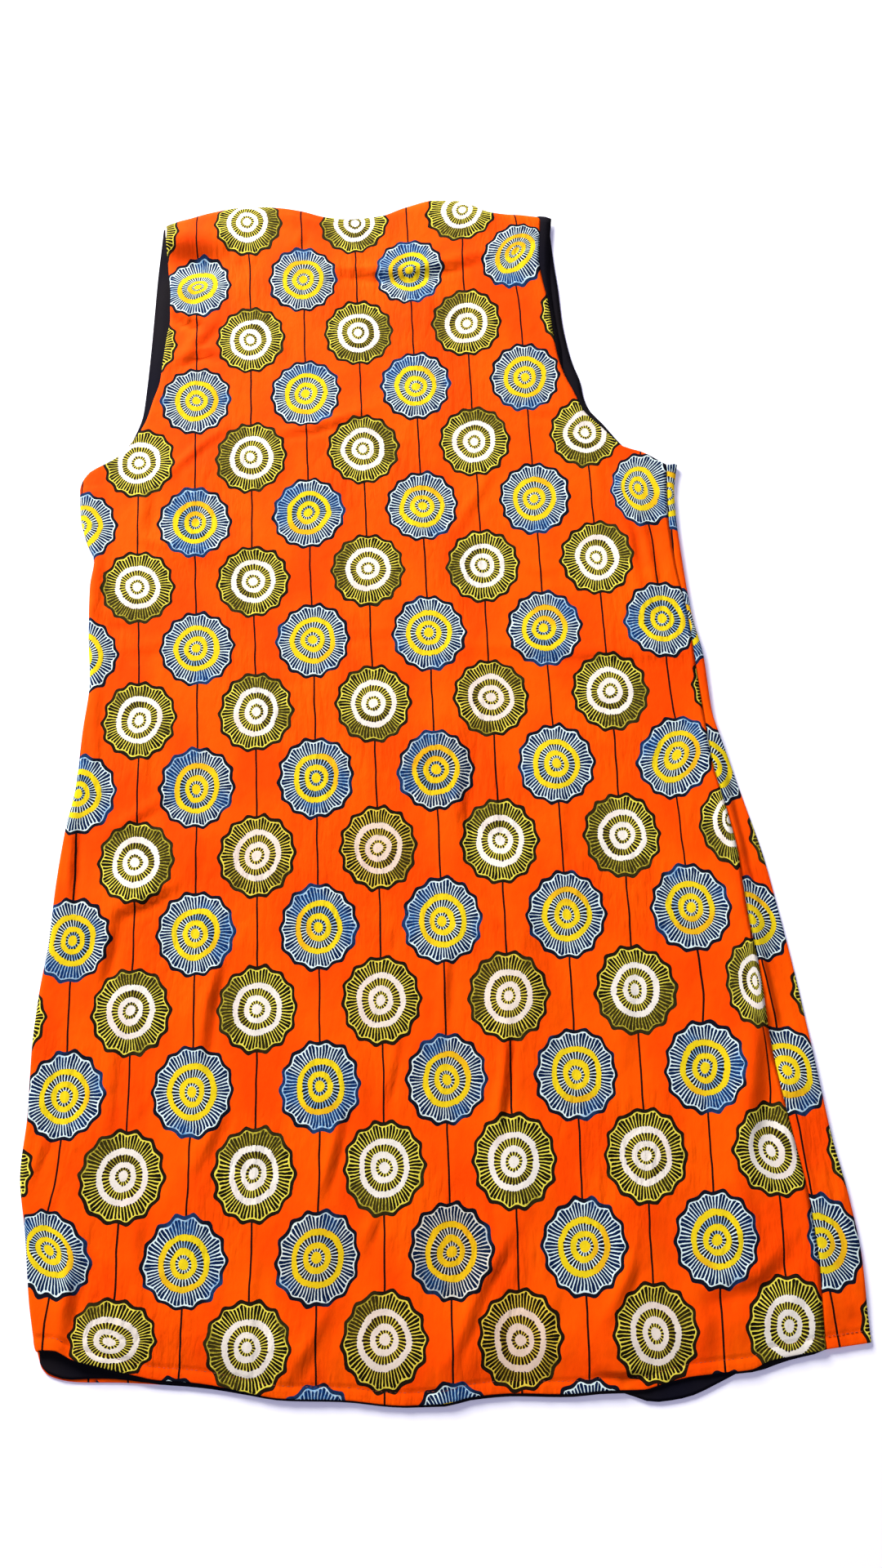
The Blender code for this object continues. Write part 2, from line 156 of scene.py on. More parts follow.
# How strongly creases, folds and drapes show, and how their ends fade
CREASE_STRENGTH = 1.2
CREASE_WIDTH_SHARE = 0.8
CREASE_FADE = 0.8
NICK_STRENGTH = 1.3
NICK_SHARE = 0.34  # how far along its line a sharp crease stays strong
RAISED_AT_HEM = 0.35
FINE_PRESSED_OUT = 0.5
DRAPE_WIDTHS = (0.6, 1.5)
DRAPE_HEIGHTS = (-0.7, 1.0)
DRAPE_END = 0.3

# Rows and columns of the cloth, and how many times its points are settled
SETTLING_STEPS = 14
HEM_FLAT_ROWS = 3
HEM_ROLL_ROWS = 6
HEM_FINE_ROWS = 8
HEM_FINE_REACH = 1.3
ROWS_BODY = 138
ROWS_YOKE = 60
ROWS_TOP_ROLL = 8
TOP_ROLL_SHARE = 0.035
YOKE_CROWDING = 1.15
COLUMNS_BACK = 186
COLUMNS_STRIP = 14
COLUMNS_FRONT = 34
COLUMNS_FOLD = 12
COLUMNS_WRAP = 12
COLUMNS_LINING_BACK = 64
COLUMNS_CURL = 8
COLUMNS_LINING_FRONT = 30
LINING_CROWDING = 1.5
LINING_ROWS_BODY = 80
LINING_ROWS_YOKE = 40
LINING_ROW_CROWDING = 1.3


def table(kind, rows):
    """Rows of numbers under the names of their columns."""
    return tuple(kind(*map(float, row)) for row in rows)


# The outline of the body, as x at each y; the left seam is underneath and the right one on top
Side = namedtuple("Side", "y left_fold left_seam right_fold right_seam")
SIDES = table(Side, (
    (-48, -27, -23.1, 28.5, 25.4),
    (-44, -27.2, -23.2, 28.5, 25.4),
    (-40, -27.8, -23.7, 28.6, 25.55),
    (-36, -28.25, -24.2, 28.25, 25.4),
    (-32, -28.8, -24.6, 27.6, 24.85),
    (-28, -28.5, -24.7, 27.2, 24.3),
    (-24, -28.45, -24.8, 26.8, 23.95),
    (-20, -28.15, -24.6, 26.35, 23.75),
    (-16, -27.6, -24.4, 25.8, 23.35),
    (-12, -27.3, -24.2, 25.2, 23.2),
    (-8, -26.8, -23.9, 24.3, 22.65),
    (-4, -26.1, -23.6, 23.35, 21.95),
    (0, -25.8, -23.4, 22.5, 21.75),
    (4, -25.4, -23.2, 22.35, 21.55),
    (8, -25.65, -23.3, 21.75, 21.35),
    (12, -25.7, -23.5, 21.5, 20.85),
    (14.4, -25.45, -23.7, 21.4, 20.7),
    (16, -26.1, -23.9, 21.35, 20.65),
    (18.5, -26.7, -24.2, 21.4, 20.75),
    (21, -26.85, -24.5, 21.85, 20.95),
))

Edge = namedtuple("Edge", "y x")
BACK_ARMHOLE_LEFT = table(Edge, (
    (20.85, -26.85), (21.55, -26.65), (22.45, -26.05), (23.15, -24.85), (23.75, -23.85), (25.05, -22.75),
    (26.95, -21.65), (29.05, -21.05), (30.75, -20.55), (32.85, -20.35), (35.35, -20.05), (36.55, -19.85),
    (39.15, -19.85), (42.25, -20.15), (46.45, -20.4),
))
BACK_ARMHOLE_RIGHT = table(Edge, (
    (21.15, 20.95), (22.55, 18.75), (22.95, 17.55), (23.75, 16.85), (24.95, 15.85), (26.35, 14.65),
    (28.45, 13.85), (30.25, 13.15), (32.25, 12.75), (34.55, 12.55), (37.25, 12.35), (39.25, 12.05),
    (41.25, 11.85), (43.75, 12.05), (45.85, 12.25),
))
FRONT_ARMHOLE_LEFT = table(Edge, (
    (20.8, -24.5), (23.5, -23.6), (25.15, -22.85), (27.75, -21.95), (29.65, -21.75), (33.75, -21.45),
    (37.25, -21.25), (40.95, -21.05), (44.85, -20.75), (46.15, -20.65),
))
FRONT_ARMHOLE_RIGHT = table(Edge, (
    (21.15, 21.85), (21.9, 19.2), (22.95, 17.85), (23.85, 17.15), (25.35, 16.15), (26.85, 15.05),
    (28.15, 14.7), (29.25, 14.6), (31.25, 14.05), (32.85, 13.75), (35.55, 13.45), (38.55, 13.35),
    (41.45, 13.15), (45.9, 13),
))
ROLLED_BAND = table(Edge, (
    (21.15, 19.9), (22.55, 18), (23.75, 16.4), (28.45, 13.5), (30.8, 13.15), (32.35, 13.15), (34.35, 12.95),
    (36.95, 12.75), (39.45, 12.65), (41.55, 12.75), (44.35, 13.05), (45.95, 13.25),
))

# How far the front's strip lies below the back's edge along the right seam, in millimetres
Tuck = namedtuple("Tuck", "y depth")
TUCKS = table(Tuck, (
    (-46, 0.7), (-38, 0.8), (-27, 0.9), (-21, 3.8), (-17, 2.4), (-14, 3.8), (-9.5, 5.4), (-4.5, 2.4),
    (2, 0.8), (21, 0.7),
))
# How much of the back's printed cloth rolls under along the right seam, in centimetres
Roll = namedtuple("Roll", "y amount")
SEAM_ROLL = table(Roll, (
    (-48, 0.1), (-26, 0.1), (-23.5, 0.4), (-21, 0.5), (-18.5, 0.4), (-15.5, 0.1), (-13, 0.3), (-10, 0.5),
    (-7.6, 0.4), (-5.6, 0.1), (21, 0),
))
SEAM_ROLL_REACH = 0.4

CENTRE_FRONT = (Edge(-48.0, 4.1), Edge(21.0, -1.0), Edge(48.0, -3.85))
NECK_HALF_WIDTH = table(Edge, (
    (-48, 0), (18.5, 0), (22, 0.7), (30, 2.9), (40, 5.7), (48, 7.9),
))

Rim = namedtuple("Rim", "x y")
TOP_EDGE = table(Rim, (
    (-20.65, 46.3), (-18.55, 47.15), (-16.25, 47.85), (-13.55, 48.25), (-10.35, 47.95), (-8.55, 47.55),
    (-6.45, 46.85), (-4.25, 46.55), (-1.75, 46.75), (0.45, 47.55), (3.35, 48.25), (5.15, 48.15),
    (7.95, 46.85), (10.55, 46.35), (13.25, 45.85),
))
UNDERARM = (Rim(-26.85, 20.85), Rim(21.85, 21.15))
BACK_HEM = table(Rim, (
    (-27.15, -43.3), (-25.9, -43.35), (-24.7, -43.95), (-23.35, -44.35), (-21.95, -44.75), (-20.65, -45.1),
    (-19.2, -45.45), (-16.9, -45.7), (-15.4, -45.95), (-13.25, -46.45), (-11.1, -46.9), (-6.8, -47.2),
    (-2.5, -47.7), (-0.35, -47.7), (1.8, -47.35), (3.95, -47.25), (8.25, -47.45), (10.4, -47.35),
    (13, -47.4), (14.35, -47.1), (16.3, -46.75), (18.3, -46.62), (20.25, -46.5), (21.6, -46), (23, -45.8),
    (24.9, -45.55), (28.55, -45.2),
))
FRONT_HEM = table(Rim, (
    (-27.15, -43.4), (-26.85, -44.35), (-26.25, -44.95), (-24.45, -45.4), (-21.65, -45.55), (-19.85, -45.7),
    (-14, -46.3), (-6, -46.9), (10, -47.1), (11.75, -47.4), (13.75, -48), (15.55, -47.85), (19.15, -46.6),
    (21, -46.05), (25, -45.3), (28.55, -45.2),
))

# How far the back's lining hangs below the back's hem, and the fronts' lining above the fronts' hem
Drop = namedtuple("Drop", "x length")
LINING_PEEK = table(Drop, (
    (-28, 0.1), (-17, 0.28), (-12, 0.14), (-4, 0.13), (2, 0.2), (8, 0.2), (12, 0.2), (20, 0.15),
    (21.4, 0.38), (23, 0.22), (25, 0.14), (26, -0.2), (29, -0.3),
))
FRONT_LINING_RISE = table(Drop, (
    (-28, 0.14), (-26.2, 0.14), (-25.2, 0.1), (-24.6, 0.15), (-23, 0.26), (-21, 0.18), (-19.6, 0.08),
    (10, 0.1), (12, -0.2), (18.5, -0.2), (21, 0.1),
))

# Soft folds: a rounded ridge from one end to the other, with its half width, and its height in millimetres
Fold = namedtuple("Fold", "x1 y1 x2 y2 width height")
FOLDS = table(Fold, (
    (1.6, 0, 2.4, -16, 1.6, 1.2),
    (6, -12, 5, -32, 1.8, 1.4),
    (5.4, -35, 0.2, -46.5, 1.6, 1.7),
    (-7.6, -24, -9.6, -46, 1.8, 1.4),
    (-15.6, -15, -17, -34, 1.7, 1.4),
    (10.4, -4, 10.2, -20, 2, 1.1),
    (13.6, -36, 10.6, -47, 1.6, 1.6),
    (23.2, -16, 20.6, -38, 1.6, 1.9),
    (-17.5, -9.5, -23.5, -14, 1.8, 1.5),
    (-24.6, -30, -25.6, -42, 1.6, 1.6),
    (-20, 21.2, -2, 27.4, 1.6, 1),
    (-20.7, 14.6, -12.8, 15, 1.6, 0.8),
    (3.8, 6, 22, 5.2, 1.6, 0.9),
    (-9, 41.4, 9, 42.4, 1.6, 1.1),
    (17, 19, 18, 9.5, 1.4, 1.5),
    (-20.2, 46.2, -14.8, 45.6, 1.4, 1.3),
    # Along the right seam, above the strip
    (22.1, -2, 23.2, -11, 1.1, 1.9),
    (23.4, -13, 24.3, -23, 1, 1.5),
    (24.5, -28, 25.2, -40, 0.9, 0.6),
))

# Creases: a bent line with a sharper step on it. Width in centimetres, ridge and step in millimetres. A
# positive step drops to the right of the line as it runs from its first point to its last, a negative one
# to the left
Crease = namedtuple("Crease", "x1 y1 x2 y2 x3 y3 width ridge step")
CREASES = table(Crease, (
    # Neck and shoulders
    (-7.2, 41, 0.5, 40.3, 8.6, 42.2, 0.5, 0.3, 1.9),
    (7.2, 39, 9.2, 38.7, 10.8, 38.9, 0.4, 0.1, 0.5),
    (-8, 45.6, -8.8, 43.8, -10.6, 42.8, 0.45, 0.2, -0.5),
    (-21.3, 44.1, -18, 43.6, -14.9, 42.8, 1.5, 0.3, 3.8),
    (-20.2, 38, -18.6, 36.6, -16.6, 35.9, 0.4, 0.3, 1.6),
    (-19.4, 32, -17.4, 34.2, -15.2, 36.8, 0.42, 0.6, 1.1),
    (-18.8, 32.4, -17.1, 33.3, -15, 33, 0.4, 0.2, 1.5),
    (-20, 40.6, -18.4, 39.2, -16.6, 38.8, 0.5, 0.3, 0.5),
    (-12.6, 46.4, -9.6, 46.4, -6.6, 45.6, 0.5, 0.2, 0.4),
    (3, 46.4, 5.6, 46, 8, 44.8, 0.6, 0.2, 0.5),
    (-3.4, 33, -0.4, 32.6, 2.4, 33, 0.4, 0.1, 0.3),
    (8.6, 27, 10.4, 26.2, 12.6, 26.4, 0.4, 0.1, 0.4),
    # From the armholes to the waist
    (-20.4, 20.8, -17.2, 24.1, -14.2, 26.4, 0.45, 0.8, 0.6),
    (-11.2, 25.1, -8, 25.5, -2, 27.3, 0.38, 0.3, 1.1),
    (7.1, 21.2, 5.1, 18, 3.1, 14.8, 0.5, 0.3, -0.7),
    (-21.2, 20.8, -21.2, 18.7, -21.4, 16.6, 0.5, 0.2, -0.9),
    (-22.2, 16.2, -20.6, 15.3, -18.8, 15.2, 0.4, 0.2, 0.8),
    (-20.7, 14.2, -16.5, 14.3, -12.8, 14.6, 0.5, 0.2, 0.4),
    (-23, 6.4, -20.9, 6.5, -19.2, 6.9, 0.4, 0.1, 0.6),
    (-25, 15.6, -24.8, 12, -25, 8.2, 0.4, 0.2, -0.9),
    (-25.4, 10.4, -23.6, 8.9, -21.6, 8.6, 0.4, 0.2, 0.7),
    (-24.6, 4.6, -24.6, 0.8, -24.4, -2.8, 0.4, 0.2, -0.8),
    (15.5, 21.8, 15.6, 19.5, 15.8, 17.2, 0.5, 0.1, -0.6),
    (16, 19, 17.6, 15.2, 17.9, 10.2, 0.45, 0.3, -1),
    (18.5, 17.4, 19.1, 12.6, 19.5, 9.4, 0.42, 0.3, -1),
    (8, 12.4, 10.1, 11.7, 12.2, 12, 0.4, 0.1, 0.5),
    (-6.2, 7.2, -3.4, 7, -0.8, 7.3, 0.35, 0.1, 0.5),
    (3, 5.6, 12.1, 4.6, 22.3, 4.1, 0.45, 0.2, 0.7),
    (-12.6, 4.4, -10, 3.6, -7.6, 3.8, 0.4, 0.1, 0.3),
    # Below the waist
    (3.9, 0.6, 2.8, -8.2, 3.4, -13.4, 0.7, 0.2, -1),
    (3.2, -12.2, 4.9, -15.8, 6.4, -20, 0.6, 0.2, -0.7),
    (7.4, -14, 8.1, -19, 9.4, -25.5, 1.5, 0.2, -1.3),
    (10.7, -6.4, 10.5, -9.5, 10.2, -12.8, 0.4, 0.2, -0.5),
    (1.5, -17.2, 1.2, -21.4, 0.8, -24.8, 0.4, 0.2, -0.8),
    (5.7, -22.8, 5.1, -27.2, 4.4, -31, 0.34, 0.5, -1.6),
    (-6.2, -28.4, -7.1, -32, -7.9, -34.8, 0.4, 0.2, -1),
    (-2.1, -23.4, -2.9, -26.6, -3.7, -29.2, 0.35, 0.2, -0.7),
    (-3.7, -34.6, -4.5, -36.7, -5.2, -38.4, 0.35, 0.2, -0.8),
    (-7, -40.8, -8.6, -43.6, -11, -46.9, 0.5, 0.6, -1),
    (5.4, -36.6, 2.7, -40.7, 0.3, -45.6, 0.45, 0.8, -1),
    (3.1, -34.4, 3.5, -36.1, 3.4, -37.8, 0.3, 0.2, -0.7),
    (13.8, -38.8, 12.2, -41.2, 10.7, -43.8, 0.45, 0.7, -0.9),
    (-23.2, -14.4, -20.9, -13.6, -17.6, -12, 0.55, 0.2, 1),
    (-22.6, -13.4, -22.9, -16.2, -23.7, -19.8, 0.55, 0.2, -1.2),
    (-24, -8.6, -21.5, -7.1, -18.4, -5.2, 0.4, 0.2, 0.9),
    (-18.6, -6.6, -16.8, -7.4, -15.2, -7.4, 0.35, 0.1, 0.6),
    (-20.4, -1, -20.7, -2.9, -20.6, -5, 0.45, 0.1, -0.8),
    (-25.9, -5.6, -26, -10.2, -25.9, -14, 0.4, 0.4, -1.3),
    (-14.7, -17.6, -15.9, -21.4, -16.2, -25.6, 0.5, 0.2, -1.6),
    (-16.1, -18, -17.1, -21.8, -17.5, -25, 0.35, 0.1, -0.4),
    (-22.2, -22, -22.6, -27.2, -22.2, -30.6, 0.55, 0.2, -1),
    (-14.2, -27.8, -15.6, -30.6, -17, -33, 0.5, 0.2, -0.9),
    (-26.3, -28.6, -27.3, -31, -28, -33.2, 0.3, 0.3, -0.6),
    (-25.5, -32.2, -26.5, -34.3, -27.2, -36.4, 0.3, 0.3, -0.6),
    (-24.4, -37.6, -25, -41.2, -25.3, -44.6, 0.55, 0.3, -1.9),
    (-20.4, -34.2, -20.3, -38, -19.6, -41.8, 0.6, 0.1, -0.9),
    (-12.2, -37.6, -12.6, -41, -12.4, -44.4, 0.5, 0.2, -0.5),
    (23.9, -22.4, 23, -27.4, 21.6, -34, 0.9, 0.4, -1.8),
    (20.2, -33.6, 21.4, -36.2, 22, -39.2, 0.5, 0.2, -0.8),
    (24.1, -38.6, 21.4, -41, 17, -42, 0.65, 0.2, -1.4),
    (16.8, -40.4, 17.9, -43.4, 17.5, -45.8, 0.55, 0.2, -0.8),
    (9.6, -46, 11.6, -46.5, 13.6, -46.4, 0.4, 0.2, 1.2),
    (8.3, -40.2, 7.2, -43, 6.8, -45.6, 0.5, 0.4, -0.4),
    (14.6, -18, 14.2, -22.5, 14, -27, 0.7, 0.2, -0.5),
    # The front's strip beside the seam
    (22.9, -4, 23.7, -9.5, 24.4, -14.4, 0.5, 0.1, -1.2),
    (24.1, -18.6, 24.5, -21.6, 25, -25.2, 0.24, 0.3, -1.2),
    (25.3, -18.2, 26, -22.5, 26.8, -27, 0.35, 0.3, -0.7),
    (27.6, -34, 28, -38.4, 28.2, -42.4, 0.3, 0.2, -0.7),
    (26.2, -42, 27, -43.2, 28, -43.6, 0.35, 0.2, 0.5),
))

# Sharp little creases: the cloth drops to the right of each line as it runs. Width in centimetres, drop in
# millimetres
Nick = namedtuple("Nick", "x1 y1 x2 y2 width drop")
NICKS = table(Nick, (
    (-20.1, 37, -16.9, 36.2, 0.3, 0.8),
    (-18.8, 32.5, -16.6, 33.5, 0.2, 0.8),
    (-19, 33.2, -15.6, 37, 0.22, 0.6),
    (-18.6, 35, -17.2, 36.4, 0.1, 0.3),
    (-6.6, 41.1, 4.6, 40.9, 0.22, 0.5),
    (-26, -12.6, -25.9, -8, 0.2, 0.8),
    (-18.5, -9.5, -16.9, -8.4, 0.2, 0.5),
    (-23, -14.2, -18.6, -12.6, 0.25, 0.8),
    (-23.6, -19.4, -22.8, -15, 0.3, 0.8),
    (-15.9, -25.2, -15.4, -19, 0.3, 0.7),
    (-21.4, -29.4, -19.8, -27.5, 0.2, 0.6),
    (-27.7, -31.8, -26.8, -30, 0.16, 0.5),
    (-11.4, -36.6, -10, -35.5, 0.16, 0.4),
    (-7.9, -34.2, -6.4, -29.8, 0.22, 0.7),
    (-8.8, -46, -6.9, -42, 0.22, 0.8),
    (-5.2, -37.4, -3.6, -35.6, 0.16, 0.6),
    (-5.4, -24.5, -4.1, -25.3, 0.16, 0.4),
    (-3.5, -28.8, -2.4, -24.9, 0.16, 0.6),
    (-3.3, -17.9, -2, -15.8, 0.2, 0.5),
    (0.8, -44.9, 2.7, -41.7, 0.25, 0.7),
    (1.1, -21.2, 1.6, -18.3, 0.18, 0.6),
    (3, -40.2, 5.1, -37.9, 0.2, 0.8),
    (4.4, -30.4, 5.5, -24, 0.2, 1),
    (6.7, -19.2, 7.4, -15.6, 0.18, 0.7),
    (12.6, -41.2, 13.8, -37, 0.22, 0.7),
))

# Long soft drapes that the cloth has all over, drawn at random inside a box, mostly upright
Drapes = namedtuple("Drapes", "count left right low high lean spread least most width height")
DRAPES = table(Drapes, (
    (80, -26, 24, -46, -12, 1.52, 0.2, 2, 8, 0.45, 0.55),
    (50, -25, 21, -14, 20, 1.45, 0.5, 2, 7, 0.42, 0.32),
    (34, -19, 12, 20, 46, 0.9, 0.8, 1.5, 6, 0.42, 0.3),
))
DRAPE_SEED = 11

# Where the print lies askew: how far it is shifted at three places across, at five heights
Askew = namedtuple("Askew", "y left_x middle_x right_x left_y middle_y right_y")
PRINT_ASKEW = table(Askew, (
    (-44, 0.35, 0.35, 0.55, -0.6, 0.05, 0.05),
    (-22, -0.5, -0.2, -0.15, 0.25, 0.15, -0.1),
    (0, -0.4, -0.15, -0.3, 0.55, -0.1, -0.35),
    (20, 0.2, 0.05, -0.05, 0.9, 0.3, -0.75),
    (44, 0.15, 0.3, -0.2, 1.3, 0.35, -1.25),
))
ASKEW_REACH = 22.0
ASKEW_LIMIT = 1.3  # the shifts are followed out to this share of the reach

# Where a crease or an edge pulls the print: how far the cloth is shifted round a place, and squeezed across,
# along and slantwise, all of it fading out over the reach
Pull = namedtuple("Pull", "x y reach shift_x shift_y squeeze_x squeeze_y slant")
PULLS = table(Pull, (
    (-13.3, 46.5, 4, 0.25, -0.85, 0, 0, 0),
    (9.8, 42.4, 4.5, 0, -1.15, 0, 0, 0),
    (9.8, 42.4, 2.6, 0, 0, 0.1, 0.1, -0.3),
    (5.6, 46.8, 3, -0.3, -0.1, 0, 0, 0),
    (-17.45, 39.8, 1.8, 0, 0, 0.05, 0.5, -0.12),
    (-22, -42.65, 5, -0.15, -0.7, 0, 0.36, 0),
    (-22.3, -43, 1.8, 0.3, 0.5, -0.2, 0.15, 0.15),
    (-26.2, -37.2, 4, 0.15, -0.85, 0, 0, 0),
    (-26.2, -37.2, 2.8, 0, 0, 0.12, 0.22, 0.3),
    (22.6, -9.4, 3, 0.68, -0.75, 0, 0, -0.1),
    (23.1, -21, 3, 0.3, -0.1, 0.45, 0, 0),
    (18.4, 19.2, 2.6, 0.75, -0.15, 0.33, 0, 0),
    (19.3, -3.8, 3, 0.05, -0.25, 0, 0, -0.2),
    (23.1, -32.75, 2.5, 0.4, 0.2, 0, 0, 0.1),
    (-3.7, 12.8, 4, 0, -0.4, 0, 0, 0),
    (-4, -43.6, 4, 0, -0.3, 0, 0, 0),
    (-12.8, -38.4, 6, 0, 0.3, 0, 0, 0),
    (-3.6, -21.2, 4, 0.15, -0.25, 0, 0, 0),
    (-21.5, -21.3, 4, 0.1, -0.3, 0, 0, 0),
    (-8.3, 18.1, 4, 0, -0.3, 0, 0, 0),
    (-16.9, -4.9, 4, 0, 0.3, 0, 0, 0),
    (9, 6, 4.5, 0.1, 0.25, 0, 0, 0),
    (-12.8, 17.5, 5.5, 0, 0.3, 0, 0, 0),
    (2.5, -29, 5.5, 0.2, -0.15, 0, 0, 0),
))
# Where the discs are darker and browner
Spot = namedtuple("Spot", "x y reach amount")
DULLED_SPOTS = table(Spot, (
    (0.6, -38.3, 5, 0.5),
    (5, -44, 4.5, 0.5),
    (-8.4, -38.5, 4.5, 0.25),
    (-4, -43.6, 4.5, 0.25),
    (14, -43.8, 4.5, 0.16),
    (0.9, -26.8, 4.5, 0.14),
    (-3.4, -9.9, 4.8, 0.4),
    (1.2, -4, 4.5, 0.26),
    (-12.4, -10.2, 4.5, 0.2),
    (5.6, 1.4, 4.5, 0.16),
    (5.5, -21.2, 4.5, 0.2),
    (-3.6, -21.2, 4.5, 0.16),
))
PRINT_ORIGIN = (5.45, -9.95)
FRONT_PRINT_ORIGIN = (-2.85, -4.4)

# The column of discs on the right front's strip, as the place of each count of repeats up it
Column = namedtuple("Column", "y x repeats")
STRIP_COLUMN = table(Column, (
    (-50, 26.6, -4), (-38.8, 25.85, -3), (-27.3, 24.95, -2), (-16.5, 23.6, -1), (-4.6, 21.75, 0),
    (6.8, 20.7, 1), (18.5, 20.9, 2),
))

# Lines pressed into the upper face: where they lie, half width in centimetres, depth in millimetres. The
# ridge stands out instead, by a negative depth
Groove = namedtuple("Groove", "offset width depth")
STITCH_GROOVE = Groove(STITCH_LINE, 0.13, 0.55)
SEAM_GROOVE = Groove(0.0, 0.14, 0.55)
SEAM_RIDGE = Groove(-0.45, 0.3, -0.2)
NECK_GROOVE = Groove(NECK_TURN, 0.12, 0.45)

# Small uneven puckers between the topstitching and the hem's edge
Wave = namedtuple("Wave", "rate start share")
PUCKERS = table(Wave, ((4.1, 0, 1), (6.7, 1.3, 0.8), (2.3, 0.4, 0.6), (9.9, 2, 0.5)))
PUCKER_PLACE = (0.5, 0.7)  # middle and half width of their band, up from the hem's edge


def smooth_through(rows, column=1):
    """A curve through the rows that never overshoots and runs straight on past both of its ends."""
    at = np.array([row[0] for row in rows])
    value = np.array([row[column] for row in rows])
    step = np.diff(at)
    slope = np.diff(value) / step
    tangent = np.zeros(len(rows))
    tangent[0] = slope[0]
    tangent[-1] = slope[-1]
    for i in range(1, len(rows) - 1):
        before, after = slope[i - 1], slope[i]
        if before * after > 0:
            near, far = step[i - 1] + 2 * step[i], 2 * step[i - 1] + step[i]
            tangent[i] = (near + far) / (near / before + far / after)

    def read(where):
        where = np.asarray(where, float)
        i = np.clip(np.searchsorted(at, where) - 1, 0, len(at) - 2)
        t = (where - at[i]) / step[i]
        rise = value[i + 1] - value[i]
        start = tangent[i] * step[i]
        end = tangent[i + 1] * step[i]
        inside = value[i] + t * (start + t * (3 * rise - 2 * start - end + t * (start + end - 2 * rise)))
        before = value[0] + tangent[0] * (where - at[0])
        after = value[-1] + tangent[-1] * (where - at[-1])
        return np.where(where < at[0], before, np.where(where > at[-1], after, inside))

    return read


left_fold, left_seam, right_fold, right_seam = (smooth_through(SIDES, i) for i in range(1, 5))
back_armhole_left = smooth_through(BACK_ARMHOLE_LEFT)
back_armhole_right = smooth_through(BACK_ARMHOLE_RIGHT)
front_armhole_left = smooth_through(FRONT_ARMHOLE_LEFT)
front_armhole_right = smooth_through(FRONT_ARMHOLE_RIGHT)
rolled_band = smooth_through(ROLLED_BAND)
centre_front = smooth_through(CENTRE_FRONT)
neck_half_width = smooth_through(NECK_HALF_WIDTH)
top_edge = smooth_through(TOP_EDGE)
underarm = smooth_through(UNDERARM)
back_hem = smooth_through(BACK_HEM)
front_hem = smooth_through(FRONT_HEM)
lining_peek = smooth_through(LINING_PEEK)
tuck_depth = smooth_through(TUCKS)
seam_roll = smooth_through(SEAM_ROLL)
strip_column, strip_repeats = (smooth_through(STRIP_COLUMN, i) for i in (1, 2))
askew_x = [smooth_through(PRINT_ASKEW, i) for i in (1, 2, 3)]
askew_y = [smooth_through(PRINT_ASKEW, i) for i in (4, 5, 6)]


def front_lining_rise(x):
    held = np.clip(x, FRONT_LINING_RISE[0].x, FRONT_LINING_RISE[-1].x)
    return smooth_through(FRONT_LINING_RISE)(held)


def mix(a, b, share):
    return a + (b - a) * share


def ease(share):
    """0 to 1 with a soft start and end."""
    share = np.clip(share, 0.0, 1.0)
    return share * share * (3 - 2 * share)


def between(x, ends):
    return ease((x - ends[0]) / (ends[1] - ends[0]))


def bell(away, width):
    return np.exp(-((away / width) ** 2))


def along(x, y, x1, y1, x2, y2):
    """Share of the way along a straight line, held to its ends, and the signed distance to its right."""
    run_x, run_y = x2 - x1, y2 - y1
    long = math.hypot(run_x, run_y)
    share = np.clip(((x - x1) * run_x + (y - y1) * run_y) / long**2, 0.0, 1.0)
    to_x, to_y = x - x1 - share * run_x, y - y1 - share * run_y
    side = np.sign(to_x * run_y - to_y * run_x)
    return share, side * np.hypot(to_x, to_y)


def folds_height(x, y):
    height = np.zeros_like(x)
    for fold in FOLDS:
        _, away = along(x, y, fold.x1, fold.y1, fold.x2, fold.y2)
        height += fold.height * bell(away, fold.width)
    return height


def crease_height(x, y, crease):
    """A low ridge with one steeper flank, which fades out towards both ends."""
    first, near = along(x, y, crease.x1, crease.y1, crease.x2, crease.y2)
    second, far = along(x, y, crease.x2, crease.y2, crease.x3, crease.y3)
    on_first = np.abs(near) < np.abs(far)
    share = np.where(on_first, first / 2, 0.5 + second / 2)
    away = np.where(on_first, near, far) / (CREASE_WIDTH_SHARE * crease.width)
    fade = np.sin(math.pi * np.clip(share, 0.02, 0.98)) ** CREASE_FADE
    flank = -away * np.exp(0.5 - away**2 / 2)
    return CREASE_STRENGTH * fade * (crease.ridge * np.exp(-(away**2) / 2) + crease.step * flank)


def nick_height(x, y, nick):
    """A short sharp crease, which fades out along its line and to both sides."""
    run_x, run_y = nick.x2 - nick.x1, nick.y2 - nick.y1
    long = math.hypot(run_x, run_y)
    off_x, off_y = x - (nick.x1 + nick.x2) / 2, y - (nick.y1 + nick.y2) / 2
    ahead = (off_x * run_x + off_y * run_y) / long / (NICK_SHARE * long)
    right = (off_x * run_y - off_y * run_x) / long / nick.width
    return -NICK_STRENGTH * nick.drop * right * np.exp(-(ahead**2 + right**2) / 2)


def scattered_drapes():
    """The drapes' lines, drawn once from a fixed seed."""
    chance = np.random.default_rng(DRAPE_SEED)
    lines = []
    for box in DRAPES:
        for _ in range(int(box.count)):
            x, y = chance.uniform(box.left, box.right), chance.uniform(box.low, box.high)
            turn = box.lean + chance.normal(0, box.spread)
            half = chance.uniform(box.least, box.most) / 2
            width = box.width * chance.uniform(*DRAPE_WIDTHS)
            height = box.height * chance.uniform(*DRAPE_HEIGHTS)
            dx, dy = half * math.cos(turn), half * math.sin(turn)
            lines.append(Fold(x - dx, y - dy, x + dx, y + dy, width, height))
    return lines


SCATTERED = scattered_drapes()


def drape_height(x, y):
    height = np.zeros_like(x)
    for line in SCATTERED:
        share, away = along(x, y, line.x1, line.y1, line.x2, line.y2)
        height += line.height * bell(away, line.width) * mix(DRAPE_END, 1.0, np.sin(math.pi * share))
    return height


